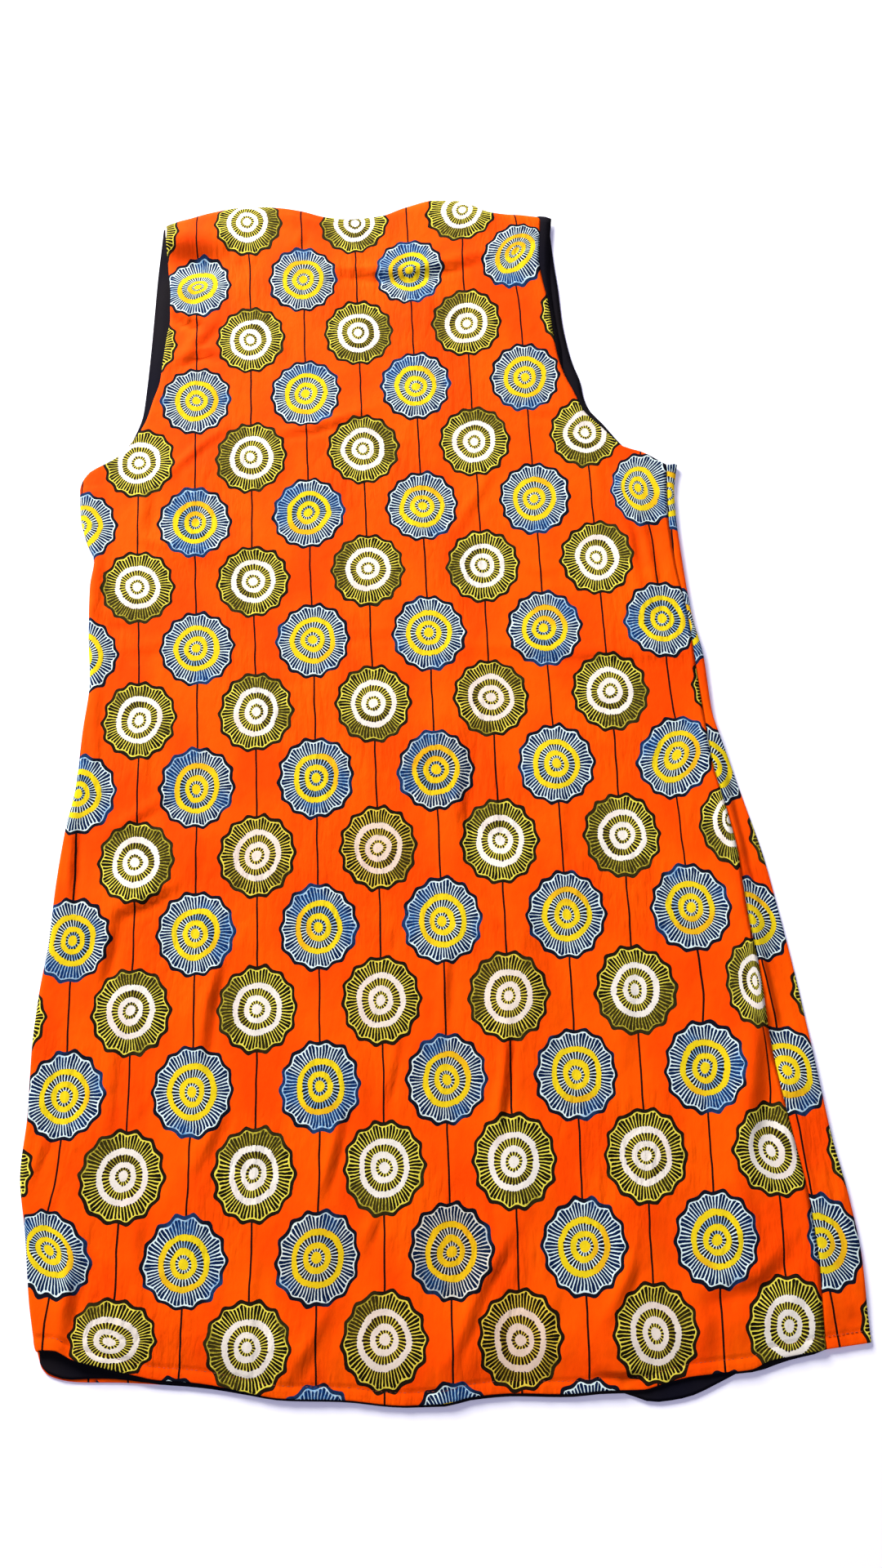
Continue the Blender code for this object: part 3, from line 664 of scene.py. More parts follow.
def sag(x, y):
    """How far the back sinks into the open neck below it."""
    half = np.maximum(neck_half_width(y) - SAG_MARGIN, NARROWEST_SAG)
    away = np.abs(x - centre_front(y)) / half
    return np.where(away < 1, NECK_SAG * ease(half / SAG_WIDTH) * (1 - away**2) ** 2, 0.0)


def swell(x, y):
    """The cloth stands a little higher beside the left fold, and falls from the right seam to its fold."""
    beside = 1 - ease((x - left_fold(y) - FOLD_REACH) / SWELL_REACH)
    strip_width = right_fold(y) - right_seam(y)
    past_seam = (x - right_seam(y)) / np.maximum(strip_width, STRIP_LEAST_WIDTH)
    fall = STRIP_FALL * between(past_seam, STRIP_ROUNDING) * np.clip(strip_width / STRIP_FULL_WIDTH, 0.0, 1.0)
    return np.where(y > underarm(x), 0.0, FOLD_SWELL * beside - fall)


def shoulder_ends(x):
    """1 at the shoulders' armhole ends."""
    return np.maximum(between(x, LEFT_SHOULDER_END), between(x, RIGHT_SHOULDER_END))


def lined_end(x):
    """1 at the shoulders' armhole ends and along the neck, where linings lie under the edge."""
    return np.maximum(shoulder_ends(x), ease(x - NECK_ENDS[0]) * ease(NECK_ENDS[1] - x))


def corner_lift(x):
    return CORNER_LIFT * bell(x - CORNER[0], CORNER[1])


def hem_puckers(x, up):
    drawn = sum(wave.share * np.sin(wave.rate * x + wave.start) for wave in PUCKERS)
    return PUCKER_HEIGHT * drawn * bell(up - PUCKER_PLACE[0], PUCKER_PLACE[1])


def pressed_line(away, line):
    return -line.depth * bell(away - line.offset, line.width)


def top_height(x, y):
    """Height of the vest's upper face at each plan point, in millimetres."""
    raised = folds_height(x, y) + swell(x, y)
    raised = MOST_RAISED * np.tanh(raised / MOST_RAISED)
    fine = drape_height(x, y)
    for crease in CREASES:
        fine = fine + crease_height(x, y, crease)
    for nick in NICKS:
        fine = fine + nick_height(x, y, nick)
    up = y - back_hem(x)
    pressed = 1 - ease(up / HEM_PRESS)
    height = BACK_TOP - sag(x, y) + raised
    height = mix(height, HEM_EDGE_TOP + RAISED_AT_HEM * raised + corner_lift(x), pressed)
    height = height + fine * (1 - FINE_PRESSED_OUT * pressed) + hem_puckers(x, up)
    height = height + pressed_line(up, STITCH_GROOVE)
    past_seam = x - np.where(y < underarm(x), right_seam(y), back_armhole_right(y))
    height = height + pressed_line(past_seam, SEAM_GROOVE) + pressed_line(past_seam, SEAM_RIDGE)
    from_top = top_edge(x) - y
    middle, half = NECK_TURN_MIDDLE
    height = height + pressed_line(from_top, NECK_GROOVE) * bell(x - middle, half)
    rolled = np.clip(1 - from_top / SHOULDER_REACH, 0.0, 1.0)
    edge = mix(SHOULDER_EDGE, LINED_EDGE, lined_end(x))
    return mix(height, edge, 1 - np.sqrt(1 - rolled**2))


def face_height(x, y):
    """The upper face with the front's strip, which drops under the seam and slopes away from it."""
    top = top_height(x, y)
    past = x - right_seam(y)
    depth = tuck_depth(y)
    step = np.minimum(depth, TUCK_STEP) * ease((past + TUCK_LEAD) / TUCK_REACH)
    slope = np.maximum(depth - TUCK_STEP, 0.0) * ease((past + TUCK_LEAD) / TUCK_SLOPE)
    room = (top - step - slope - STRIP_LEAST) / STRIP_SOFTNESS
    strip = STRIP_LEAST + STRIP_SOFTNESS * np.logaddexp(0.0, room)
    return np.where((y < underarm(x)) & (past > -TUCK_LEAD), np.minimum(strip, top), top)


# A row of cloth: its height above the hem, its shares of the body and the yoke, and how far in it is turned
Row = namedtuple("Row", "above body yoke inward")


def print_rows():
    """The rows of an outer panel: the turned-up hem, the roll of its edge, then the body and the yoke."""
    rows = []
    for i in range(HEM_FLAT_ROWS):
        rows.append(Row(mix(TURN_UP, HEM_ROLL, i / HEM_FLAT_ROWS), 0.0, 0.0, 2 * HEM_ROLL))
    for i in range(HEM_ROLL_ROWS + 1):
        turn = math.pi * (1 - i / HEM_ROLL_ROWS)
        rows.append(Row(HEM_ROLL * (1 - math.sin(turn)), 0.0, 0.0, HEM_ROLL * (1 - math.cos(turn))))
    for i in range(1, HEM_FINE_ROWS + 1):
        rows.append(Row(mix(HEM_ROLL, HEM_FINE_REACH, i / HEM_FINE_ROWS), 0.0, 0.0, 0.0))
    for i in range(1, ROWS_BODY + 1):
        rows.append(Row(HEM_FINE_REACH, i / ROWS_BODY, 0.0, 0.0))
    for i in range(1, ROWS_YOKE + 1):
        share = (1 - TOP_ROLL_SHARE) * (i / ROWS_YOKE) ** YOKE_CROWDING
        rows.append(Row(HEM_FINE_REACH, 1.0, share, 0.0))
    for i in range(1, ROWS_TOP_ROLL + 1):
        share = 1 - TOP_ROLL_SHARE * (1 - math.sin(math.pi / 2 * i / ROWS_TOP_ROLL))
        rows.append(Row(HEM_FINE_REACH, 1.0, share, 0.0))
    return rows


def lining_rows():
    rows = []
    for i in range(LINING_ROWS_BODY + 1):
        rows.append(Row(0.0, (i / LINING_ROWS_BODY) ** LINING_ROW_CROWDING, 0.0, 0.0))
    for i in range(1, LINING_ROWS_YOKE + 1):
        rows.append(Row(0.0, 1.0, i / LINING_ROWS_YOKE, 0.0))
    return rows


PRINT_ROWS = print_rows()
LINING_ROWS = lining_rows()


class Cloth:
    """The points of one panel while it is being laid: a grid of rows and columns."""

    def __init__(self, columns, rows):
        self.shape = (len(rows), columns + 1)
        self.column = np.broadcast_to(np.arange(columns + 1, dtype=float), self.shape)
        self.above, self.body, self.yoke, self.inward = (
            np.broadcast_to(np.array([getattr(row, name) for row in rows])[:, None], self.shape)
            for name in Row._fields
        )
        self.in_yoke = self.yoke > 0
        self.at_underarm = (self.body >= 1) & ~self.in_yoke
        self.keep = np.ones(self.shape, bool)
        self.u = self.v = None

    def settle(self, x_at, hem, top):
        """Plan points where a row's y, which depends on x, meets a column's x, which depends on y."""
        self.y = np.zeros(self.shape)
        self.x = x_at(self.y)
        for _ in range(SETTLING_STEPS):
            in_body = mix(hem(self.x) + self.above, underarm(self.x), self.body)
            in_yoke = mix(underarm(self.x), top(self.x), self.yoke)
            self.y = np.where(self.in_yoke, in_yoke, in_body)
            self.x = x_at(self.y)

    def turn_in(self, z, turn, side):
        """Sets the heights, with the turned hem's rows off the face towards the inside of the fold."""
        self.x = self.x + side * self.inward * np.sin(math.pi * turn) * (turn < 1)
        self.z = z + self.inward * MM_PER_CM * np.cos(math.pi * turn)

    def runs(self, columns, start):
        """Distance along the cloth from the start column, over the given columns in order."""
        run = np.zeros(self.shape[0])
        before = start
        for column in columns:
            step_x = self.x[:, column] - self.x[:, before]
            step_z = (self.z[:, column] - self.z[:, before]) / MM_PER_CM
            run = run + np.hypot(step_x, step_z)
            before = column
            yield column, run

    def continue_hem(self):
        """Carries the print on round the turned hem, counted along the cloth from the first flat row."""
        first = HEM_FLAT_ROWS + HEM_ROLL_ROWS
        run = np.zeros(self.shape[1])
        for row in range(first - 1, -1, -1):
            step_y = self.y[row] - self.y[row + 1]
            step_z = (self.z[row] - self.z[row + 1]) / MM_PER_CM
            run = run + np.hypot(step_y, step_z)
            self.v[row] = self.v[first] - run
            self.u[row] = self.u[first]


def print_place(x, y):
    """Where on the printed cloth a plan point of the back lies, in centimetres from the middle of a disc."""
    across = np.clip(x / ASKEW_REACH, -ASKEW_LIMIT, ASKEW_LIMIT)
    weights = (across * (across - 1) / 2, 1 - across**2, across * (across + 1) / 2)
    shift_x = sum(weight * shift(y) for weight, shift in zip(weights, askew_x))
    shift_y = sum(weight * shift(y) for weight, shift in zip(weights, askew_y))
    for pull in PULLS:
        off_x, off_y = x - pull.x, y - pull.y
        share = np.exp(-(off_x**2 + off_y**2) / pull.reach**2)
        shift_x = shift_x + share * (pull.shift_x + pull.squeeze_x * off_x + pull.slant * off_y)
        shift_y = shift_y + share * (pull.shift_y + pull.squeeze_y * off_y + pull.slant * off_x)
    rolled = np.where(y < UNDERARM[-1].y, seam_roll(y) * bell(x - right_seam(y), SEAM_ROLL_REACH), 0.0)
    return x + shift_x + rolled - PRINT_ORIGIN[0], y + shift_y - PRINT_ORIGIN[1]


def round_fold(turn):
    """Share of the height in the round of a side fold: turn is 0 on the table, 0.5 outermost and 1 on top."""
    return (1 - np.cos(math.pi * turn)) / 2


def round_inset(turn):
    return 1 - np.sin(math.pi * turn)


def lay_back():
    """The back: from the seam underneath round the left fold, then across the top to the right seam."""
    cloth = Cloth(COLUMNS_WRAP + COLUMNS_FOLD + COLUMNS_BACK, PRINT_ROWS)
    turn = (cloth.column - COLUMNS_WRAP) / COLUMNS_FOLD
    share = (cloth.column - COLUMNS_WRAP - COLUMNS_FOLD) / COLUMNS_BACK
    held = np.clip(turn, 0.0, 1.0)

    def x_at(y):
        outermost = np.where(cloth.in_yoke, back_armhole_left(y), left_fold(y))
        inner = outermost + FOLD_REACH
        right = np.where(cloth.in_yoke | cloth.at_underarm, back_armhole_right(y), right_seam(y))
        wrap = mix(left_seam(y), inner, cloth.column / COLUMNS_WRAP)
        fold = outermost + FOLD_REACH * round_inset(held)
        return np.where(turn < 0, wrap, np.where(turn <= 1, fold, mix(inner, right, share)))

    def hem(x):
        return np.where(turn < 0.5, front_hem(x), mix(front_hem(x), back_hem(x), ease(2 * turn - 1)))

    cloth.settle(x_at, hem, top_edge)
    on_top = top_height(cloth.x, cloth.y)
    at_fold = top_height(left_fold(cloth.y) + FOLD_REACH, cloth.y)
    at_armhole = on_top - ARMHOLE_ROLL * (1 + np.cos(math.pi * held))
    in_fold = np.where(cloth.in_yoke, at_armhole, at_fold * round_fold(held))
    cloth.turn_in(np.where(turn < 0, 0.0, np.where(turn <= 1, in_fold, on_top)), held, 1)
    cloth.keep = ~(cloth.in_yoke & (turn < 0.5))
    cloth.u, cloth.v = print_place(cloth.x, cloth.y)
    top_column = COLUMNS_WRAP + COLUMNS_FOLD
    for column, run in cloth.runs(range(top_column - 1, -1, -1), top_column):
        cloth.u[:, column] = cloth.u[:, top_column] - run
    cloth.continue_hem()
    return cloth


def right_reach(y):
    return np.minimum(FOLD_REACH, STRIP_SHARE * (right_fold(y) - right_seam(y)))


def open_edge_left(y):
    return centre_front(y) - neck_half_width(y) - CENTRE_GAP / 2


def open_edge_right(y):
    return centre_front(y) + neck_half_width(y) + CENTRE_GAP / 2


def front_top(x):
    return top_edge(x) - FRONT_TOP_INSET


def shoulder_rise(x, y):
    """The fronts rise to meet the back at the shoulder seams."""
    near = np.clip(1 - (front_top(x) - y) / SHOULDER_REACH, 0.0, 1.0)
    return FRONT_SHOULDER_EDGE * (1 - np.sqrt(1 - near**2)) * (1 - lined_end(x))


def lay_front_left():
    """The underside of the left front, from its open edge to the side seam or armhole."""
    cloth = Cloth(COLUMNS_FRONT, PRINT_ROWS)

    def x_at(y):
        outer = np.where(cloth.in_yoke, front_armhole_left(y) + FRONT_INSET, left_seam(y) + SEAM_GAP)
        return mix(open_edge_left(y), outer, cloth.column / COLUMNS_FRONT)

    cloth.settle(x_at, front_hem, front_top)
    cloth.turn_in(shoulder_rise(cloth.x, cloth.y), 0.0, 1)
    cloth.u, cloth.v = FRONT_PRINT_ORIGIN[0] - cloth.x, cloth.y - FRONT_PRINT_ORIGIN[1]
    cloth.continue_hem()
    return cloth


def lay_front_right():
    """The right front: from the seam on top round the right fold, then under to its open edge."""
    cloth = Cloth(COLUMNS_STRIP + COLUMNS_FOLD + COLUMNS_FRONT, PRINT_ROWS)
    turn = 1 - (cloth.column - COLUMNS_STRIP) / COLUMNS_FOLD
    share = (cloth.column - COLUMNS_STRIP - COLUMNS_FOLD) / COLUMNS_FRONT
    held = np.clip(turn, 0.0, 1.0)

    def x_at(y):
        outermost = np.where(cloth.in_yoke, front_armhole_right(y) - FRONT_INSET, right_fold(y))
        inner = outermost - right_reach(y)
        strip = mix(right_seam(y) - SEAM_GAP, inner, cloth.column / COLUMNS_STRIP)
        fold = outermost - right_reach(y) * round_inset(held)
        under = mix(inner, open_edge_right(y), share)
        return np.where(turn > 1, strip, np.where(turn >= 0, fold, under))

    def hem(x):
        return np.where(turn >= 0.5, back_hem(x), front_hem(x))

    cloth.settle(x_at, hem, front_top)
    inner = right_fold(cloth.y) - right_reach(cloth.y)
    in_fold = np.where(cloth.in_yoke, 0.0, face_height(inner, cloth.y) * round_fold(held))
    below = np.where(turn < 0, shoulder_rise(cloth.x, cloth.y), in_fold)
    cloth.turn_in(np.where(turn > 1, face_height(cloth.x, cloth.y), below), held, -1)
    cloth.keep = ~(cloth.in_yoke & (turn > 0.5))
    sizes = bpy.context.scene.long_vest_sizes
    cloth.u = cloth.x - strip_column(cloth.y) + sizes.repeat_across / METRES_PER_CM / 2
    cloth.v = (strip_repeats(cloth.y) + 0.5) * sizes.repeat_along / METRES_PER_CM
    for column, run in cloth.runs(range(COLUMNS_STRIP + 1, cloth.shape[1]), COLUMNS_STRIP):
        cloth.u[:, column] = cloth.u[:, COLUMNS_STRIP] + run
        cloth.v[:, column] = cloth.v[:, COLUMNS_STRIP] + cloth.y[:, column] - cloth.y[:, COLUMNS_STRIP]
    cloth.continue_hem()
    return cloth


def over_turned_hem(up):
    """1 over the turned-up hem, 0 further in."""
    return 1 - ease((up - TURN_UP) / TURN_UP_FADE)


def back_lining_height(x, y):
    """The lining follows the hem's edge, and further in it lies below the lowest cloth round each point."""
    up = y - back_hem(x)
    clear = mix(LAYER_CLEAR, TURNED_CLEAR, over_turned_hem(up))
    face = face_height(x, y)
    lowest = face
    for step_x, step_y in LINING_LOOKS:
        lowest = np.minimum(lowest, face_height(x + step_x, y + step_y))
    flat = np.minimum(BACK_LINING_TOP, lowest - clear)
    return mix(face - clear, flat, between(up, LINING_FREE))


def front_lining_height(x, y):
    flat = np.minimum(FRONT_LINING_TOP, back_lining_height(x, y) - LINING_CLEAR)
    up = y - front_hem(x)
    low = mix(flat, TURNED_LINING_TOP, 1 - ease(up / HEM_PRESS))
    return np.maximum(low, LEAST_LINING_TOP)


def lay_lining_back():
    """The back's lining, which curls in the side folds and rolls out as a band along the right armhole."""
    columns = 2 * COLUMNS_CURL + COLUMNS_LINING_BACK
    cloth = Cloth(columns, LINING_ROWS)
    left_turn = np.clip(cloth.column / COLUMNS_CURL, 0.0, 1.0)
    right_turn = np.clip((columns - cloth.column) / COLUMNS_CURL, 0.0, 1.0)
    share = (cloth.column - COLUMNS_CURL) / COLUMNS_LINING_BACK
    reach = FOLD_REACH * (1 - cloth.in_yoke)

    def x_at(y):
        left = np.where(cloth.in_yoke, back_armhole_left(y) + LINING_INSET, left_fold(y) + LINING_CURL)
        right = np.where(cloth.in_yoke | cloth.at_underarm, rolled_band(y), right_fold(y) - LINING_CURL)
        curl_left = left + reach * round_inset(left_turn)
        curl_right = right - reach * round_inset(right_turn)
        flat = mix(left + reach, right - reach, share)
        return np.where(left_turn < 1, curl_left, np.where(right_turn < 1, curl_right, flat))

    def hem(x):
        return back_hem(x) - lining_peek(x)

    def top(x):
        return top_edge(x) - LINING_TOP_INSET * (1 - between(x, RIGHT_SHOULDER_END))

    cloth.settle(x_at, hem, top)
    z = np.maximum(back_lining_height(cloth.x, cloth.y), LEAST_BACK_LINING)
    foot = np.minimum(TURNED_LINING_TOP, CURL_SHARE * z)
    curled = np.minimum(left_turn, right_turn)
    z = np.where(cloth.in_yoke, z, mix(foot, z, round_fold(curled)))
    past = cloth.x - back_armhole_right(cloth.y)
    width = np.maximum(rolled_band(cloth.y) - back_armhole_right(cloth.y), NARROWEST_BAND)
    band = mix(BAND_TOP, BAND_EDGE, 1 - np.sqrt(1 - np.clip(past / width, 0.0, 1.0) ** 4))
    cloth.z = mix(z, band, ease((past + BAND_REACH) / BAND_REACH) * cloth.in_yoke)
    cloth.keep = ~(cloth.in_yoke & (curled < 1))
    return cloth


def lining_front_top(x):
    return front_top(x) - LINING_TOP_INSET * (1 - shoulder_ends(x))


def front_lining_hem(x):
    return front_hem(x) + front_lining_rise(x)


def settle_front_lining(cloth, x_at, armhole, edge_width):
    """Lays a front's lining by its columns, and lowers it beside the armhole."""
    cloth.settle(x_at, front_lining_hem, lining_front_top)
    z = front_lining_height(cloth.x, cloth.y)
    edge = 1 - ease(np.abs(armhole(cloth.y) - cloth.x) / edge_width)
    cloth.z = np.where(cloth.in_yoke, mix(z, LEAST_LINING_TOP, edge), z)
    return cloth


def lay_lining_front_left():
    """The left front's lining, from the fold or armhole to its open edge."""
    cloth = Cloth(COLUMNS_LINING_FRONT, LINING_ROWS)
    share = (cloth.column / COLUMNS_LINING_FRONT) ** LINING_CROWDING

    def x_at(y):
        left = np.where(cloth.in_yoke, front_armhole_left(y), left_fold(y) + LINING_EDGE)
        return mix(left, open_edge_left(y) - HIDDEN_INSET, share)

    return settle_front_lining(cloth, x_at, front_armhole_left, LEFT_LINING_FADE)


def lay_lining_front_right():
    """The right front's lining, from its open edge to the fold or armhole."""
    cloth = Cloth(COLUMNS_LINING_FRONT, LINING_ROWS)

    def x_at(y):
        away = UNDERARM_CLEAR * (1 - between(y, UNDERARM_FADE))
        in_yoke = cloth.in_yoke | cloth.at_underarm
        right = np.where(in_yoke, front_armhole_right(y) - away, right_fold(y) - FOLD_REACH)
        return mix(open_edge_right(y) + HIDDEN_INSET, right, cloth.column / COLUMNS_LINING_FRONT)

    return settle_front_lining(cloth, x_at, front_armhole_right, RIGHT_LINING_FADE)


def deselect_all():
    for thing in bpy.context.view_layer.objects:
        thing.select_set(False)


def drop_points(panel, dropped):
    """Takes out the grid's points that would lie over an armhole."""
    mesh = panel.data
    mesh.polygons.foreach_set("select", np.zeros(len(mesh.polygons), bool))
    mesh.edges.foreach_set("select", np.zeros(len(mesh.edges), bool))
    mesh.vertices.foreach_set("select", dropped)
    bpy.ops.object.mode_set(mode="EDIT")
    bpy.ops.mesh.select_mode(type="VERT")
    bpy.ops.mesh.delete(type="VERT")
    bpy.ops.object.mode_set(mode="OBJECT")


def read_places(mesh):
    places = np.empty(len(mesh.vertices) * 3)
    mesh.vertices.foreach_get("co", places)
    return places.reshape(-1, 3)


def half_area(mesh):
    """Area of the open sheet before it is thickened, in square metres."""
    areas = np.empty(len(mesh.polygons))
    mesh.polygons.foreach_get("area", areas)
    return float(areas.sum())


def add_print_map(mesh, at_points):
    """The piece's own map: where on the printed cloth each corner lies."""
    for other in list(mesh.uv_layers):
        mesh.uv_layers.remove(other)
    layer = mesh.uv_layers.new(name=PRINT_MAP)
    corner = np.empty(len(mesh.loops), int)
    mesh.loops.foreach_get("vertex_index", corner)
    layer.uv.foreach_set("vector", at_points[corner].ravel())


def make_panel(name, cloth, wall, material):
    """A cloth panel: a grid laid on the cloth's points, then thickened away from its outer face."""
    rows, columns = cloth.shape
    deselect_all()
    bpy.ops.mesh.primitive_grid_add(x_subdivisions=columns - 1, y_subdivisions=rows - 1, size=2)
    panel = bpy.context.active_object
    panel.name = panel.data.name = name
    mesh = panel.data
    flat = read_places(mesh)
    column = np.rint((flat[:, 0] + 1) / 2 * (columns - 1)).astype(int)
    row = np.rint((flat[:, 1] + 1) / 2 * (rows - 1)).astype(int)
    plan = np.stack([cloth.x[row, column], cloth.y[row, column]], 1) * METRES_PER_CM
    heights = cloth.z[row, column] * METRES_PER_MM
    mesh.vertices.foreach_set("co", np.column_stack([plan, heights]).ravel())
    if cloth.u is not None:
        add_print_map(mesh, np.stack([cloth.u[row, column], cloth.v[row, column]], 1))
    if not cloth.keep.all():
        drop_points(panel, ~cloth.keep[row, column])
    area = half_area(mesh)
    thicken = panel.modifiers.new("Wall", "SOLIDIFY")
    thicken.thickness = wall
    thicken.offset = -1
    bpy.ops.object.modifier_apply(modifier=thicken.name)
    bpy.ops.object.shade_smooth()
    mesh.materials.clear()
    mesh.materials.append(material)
    return panel, area


def by_node(operation, swapped=False):
    """What a sign such as + does between values: it adds the node for it."""

    def act(value, other):
        pair = (other, value) if swapped else (value, other)
        return value.wiring.reckon(operation, *pair)

    return act


class Value:
    """A node's output, which is added, multiplied and compared like a number, each time by a new node."""

    __add__ = by_node("ADD")
    __sub__ = by_node("SUBTRACT")
    __rsub__ = by_node("SUBTRACT", swapped=True)
    __mul__ = by_node("MULTIPLY")
    __truediv__ = by_node("DIVIDE")
    __pow__ = by_node("POWER")
    __lt__ = by_node("LESS_THAN")
    __gt__ = by_node("GREATER_THAN")

    def __init__(self, wiring, socket):
        self.wiring = wiring
        self.socket = socket
        self.is_vector = socket.type in ("VECTOR", "RGBA")


class Wiring:
    """Adds nodes to a new material one after the other and joins them up."""

    def __init__(self, name):
        self.material = bpy.data.materials.new(name)
        self.material.use_nodes = True
        self.tree = self.material.node_tree
        self.shader = self.tree.nodes["Principled BSDF"]

    def add(self, kind, **settings):
        node = self.tree.nodes.new("ShaderNode" + kind)
        for name, setting in settings.items():
            setattr(node, name, setting)
        return node

    def feed(self, socket, value):
        if isinstance(value, Value):
            self.tree.links.new(value.socket, socket)
        elif socket.type == "RGBA":
            socket.default_value = (*value, 1)
        else:
            socket.default_value = value

    def dress(self, inputs):
        """Feeds the shader's inputs, by their names."""
        for name, value in inputs.items():
            self.feed(self.shader.inputs[name], value)

    def reckon(self, operation, *inputs, clamp=False):
        """A Math node, or a Vector Math node where one of the inputs is a vector."""
        if any(isinstance(value, Value) and value.is_vector for value in inputs):
            node = self.add("VectorMath", operation=operation)
        else:
            node = self.add("Math", operation=operation, use_clamp=clamp)
        for socket, value in zip(node.inputs, inputs):
            self.feed(socket, value)
        return Value(self, node.outputs["Value" if operation == "LENGTH" else 0])

    def mix(self, share, a, b, kind="Color", blend="MIX"):
        node = self.add("Mix", data_type="RGBA" if kind == "Color" else "VECTOR", blend_type=blend)
        sockets = {socket.identifier: socket for socket in (*node.inputs, *node.outputs)}
        self.feed(node.inputs["Factor"], share)
        self.feed(sockets["A_" + kind], a)
        self.feed(sockets["B_" + kind], b)
        return Value(self, sockets["Result_" + kind])

    def noise(self, place, scale, detail=2.0, dimensions="2D", output="Fac"):
        node = self.add("TexNoise", noise_dimensions=dimensions)
        self.feed(node.inputs["Vector"], place)
        node.inputs["Scale"].default_value = scale
        node.inputs["Detail"].default_value = detail
        return Value(self, node.outputs[output])

    def spread(self, value, low, high, to_low=0.0, to_high=1.0, soft=False):
        node = self.add("MapRange", interpolation_type="SMOOTHSTEP" if soft else "LINEAR")
        names = ("Value", "From Min", "From Max", "To Min", "To Max")
        for name, number in zip(names, (value, low, high, to_low, to_high)):
            self.feed(node.inputs[name], number)
        return Value(self, node.outputs["Result"])

    def uneven(self, place, kind, soft=False, dimensions="2D"):
        """Differs from place to place, by the noise that the kind describes."""
        noise = self.noise(place, kind.scale, kind.detail, dimensions)
        return self.spread(noise, kind.low, kind.high, kind.to_low, kind.to_high, soft)

    def own_map(self):
        return Value(self, self.add("UVMap", uv_map=PRINT_MAP).outputs["UV"])

    def object_place(self):
        return Value(self, self.add("TexCoord").outputs["Object"])

    def split(self, vector):
        node = self.add("SeparateXYZ")
        self.feed(node.inputs[0], vector)
        return [Value(self, output) for output in node.outputs]

    def bump(self, height, strength, distance, below=None):
        node = self.add("Bump")
        node.inputs["Strength"].default_value = strength
        node.inputs["Distance"].default_value = distance
        self.feed(node.inputs["Height"], height)
        if below is not None:
            self.feed(node.inputs["Normal"], below)
        return Value(self, node.outputs["Normal"])

    def weave(self, place, pitch):
        """A plain weave: threads that pass over and under each other, with the given pitch."""
        across, along_cloth, _ = self.split(place)
        over = self.reckon("SINE", across * (math.pi / pitch))
        under = self.reckon("SINE", along_cloth * (math.pi / pitch))
        return self.reckon("ABSOLUTE", over * under)


# The print's disc: its rings, its ticks and its scalloped outline, as shares of its radius
CENTRE_DOT = 0.12
RINGS = ((0.182, 0.317), (0.455, 0.598))
OUTLINE = 0.917
TICK_ZONES = ((0.114, 0.194), (0.307, 0.469), (0.584, 0.893))
TICK_COUNTS = (16, 38, 64)
SECOND_TICKS = 0.25  # the second zone's ticks start past this, the third's past the next
THIRD_TICKS = 0.53
TICK_ROUNDING = 80.0
PEAK_ZONE = (0.6, 0.9)
PEAK_WIDENING = 0.3
LOBES = 14
LOBE_DEPTH = 0.068
LOBE_ROUNDING = 0.55
TURN_BY_CHANCE = 0.1
LOBE_ZONE = (0.66, 0.8)  # the rings are round, and the scallops grow in between these

# The waver of hand-cut blocks: the scale of its noise and how far it moves the print, in centimetres
BROAD_WAVER = (0.45, (0.34, 0.3, 0.0))
FINE_WAVER = (2.6, (0.06, 0.06, 0.0))
LINE_WAVER = (0.14, 0.0, 0.0)
HALF = (0.5, 0.5, 0.5)
HALF_CELL = (0.5, 0.5, 0.0)
CELLS_AWAY = 40  # these two keep what is counted positive
TURNS_AWAY = 200
DISC_PARTS = ("ring", "deep_ring", "gap", "run_gap", "tick", "run_tick", "outline", "run_outline")
DULLING_TINT = (0.86, 0.5, 0.3)
DULLING_LUCK = (0.3, 0.5)
DULLING_BY_CHANCE = 0.12
FIBRE_SHADE = (0.9, 0.62, 0.5)
STRETCHED = (1.0, 0.6, 1.0)
FIBROUS = (9.0, 1.6, 1.0)
UPRIGHT = (1.0, 0.26, 1.0)
CELLS_APART = (7.3, 7.3, 7.3)  # so that no two discs run over alike

# Noise by which places differ: its scale and detail, the stretch of it that counts, and what that becomes
Noise = namedtuple("Noise", "scale detail low high to_low to_high")
TICK_ENDS = Noise(3.4, 1.0, 0.2, 0.8, -0.018, 0.018)
TICK_WIDTHS = Noise(2.2, 1.0, 0.3, 0.7, 0.61, 0.71)
STREAKS = Noise(5.0, 2.0, 0.3, 0.7, 0.45, 1.0)
RUN_STRETCHES = Noise(1.5, 1.0, 0.52, 0.66, 0.0, 1.0)
DEEP_STRETCHES = Noise(1.1, 1.0, 0.54, 0.7, 0.0, 1.0)
DYE_CLOUDS = Noise(0.2, 4.0, 0.36, 0.64, 0.0, 1.0)
FIBRES = Noise(3.0, 3.0, 0.4, 0.75, 0.0, 0.06)
WRINKLED = Noise(0.11, 1.0, 0.42, 0.62, 0.0, 1.0)
SPECKS = Noise(40.0, 3.0, 0.3, 0.7, 0.0, 0.015)

# Relief finer than the cloth's points: its strength, and its depth in metres
WRINKLES = (1.0, 0.0022)
CRUMPLES = (0.3, 0.003)
GRAIN = (0.25, 0.00025)
COTTON_WEAVE = (0.35, 0.00012)
LINING_CRUMPLES = (0.3, 0.0012)
LINING_WEAVE = (0.3, 0.0001)
LINING_PITCH = 0.7  # from thread to thread of the lining, as a share of the cotton's pitch
THREAD_FIBRES = (0.4, 0.0001)


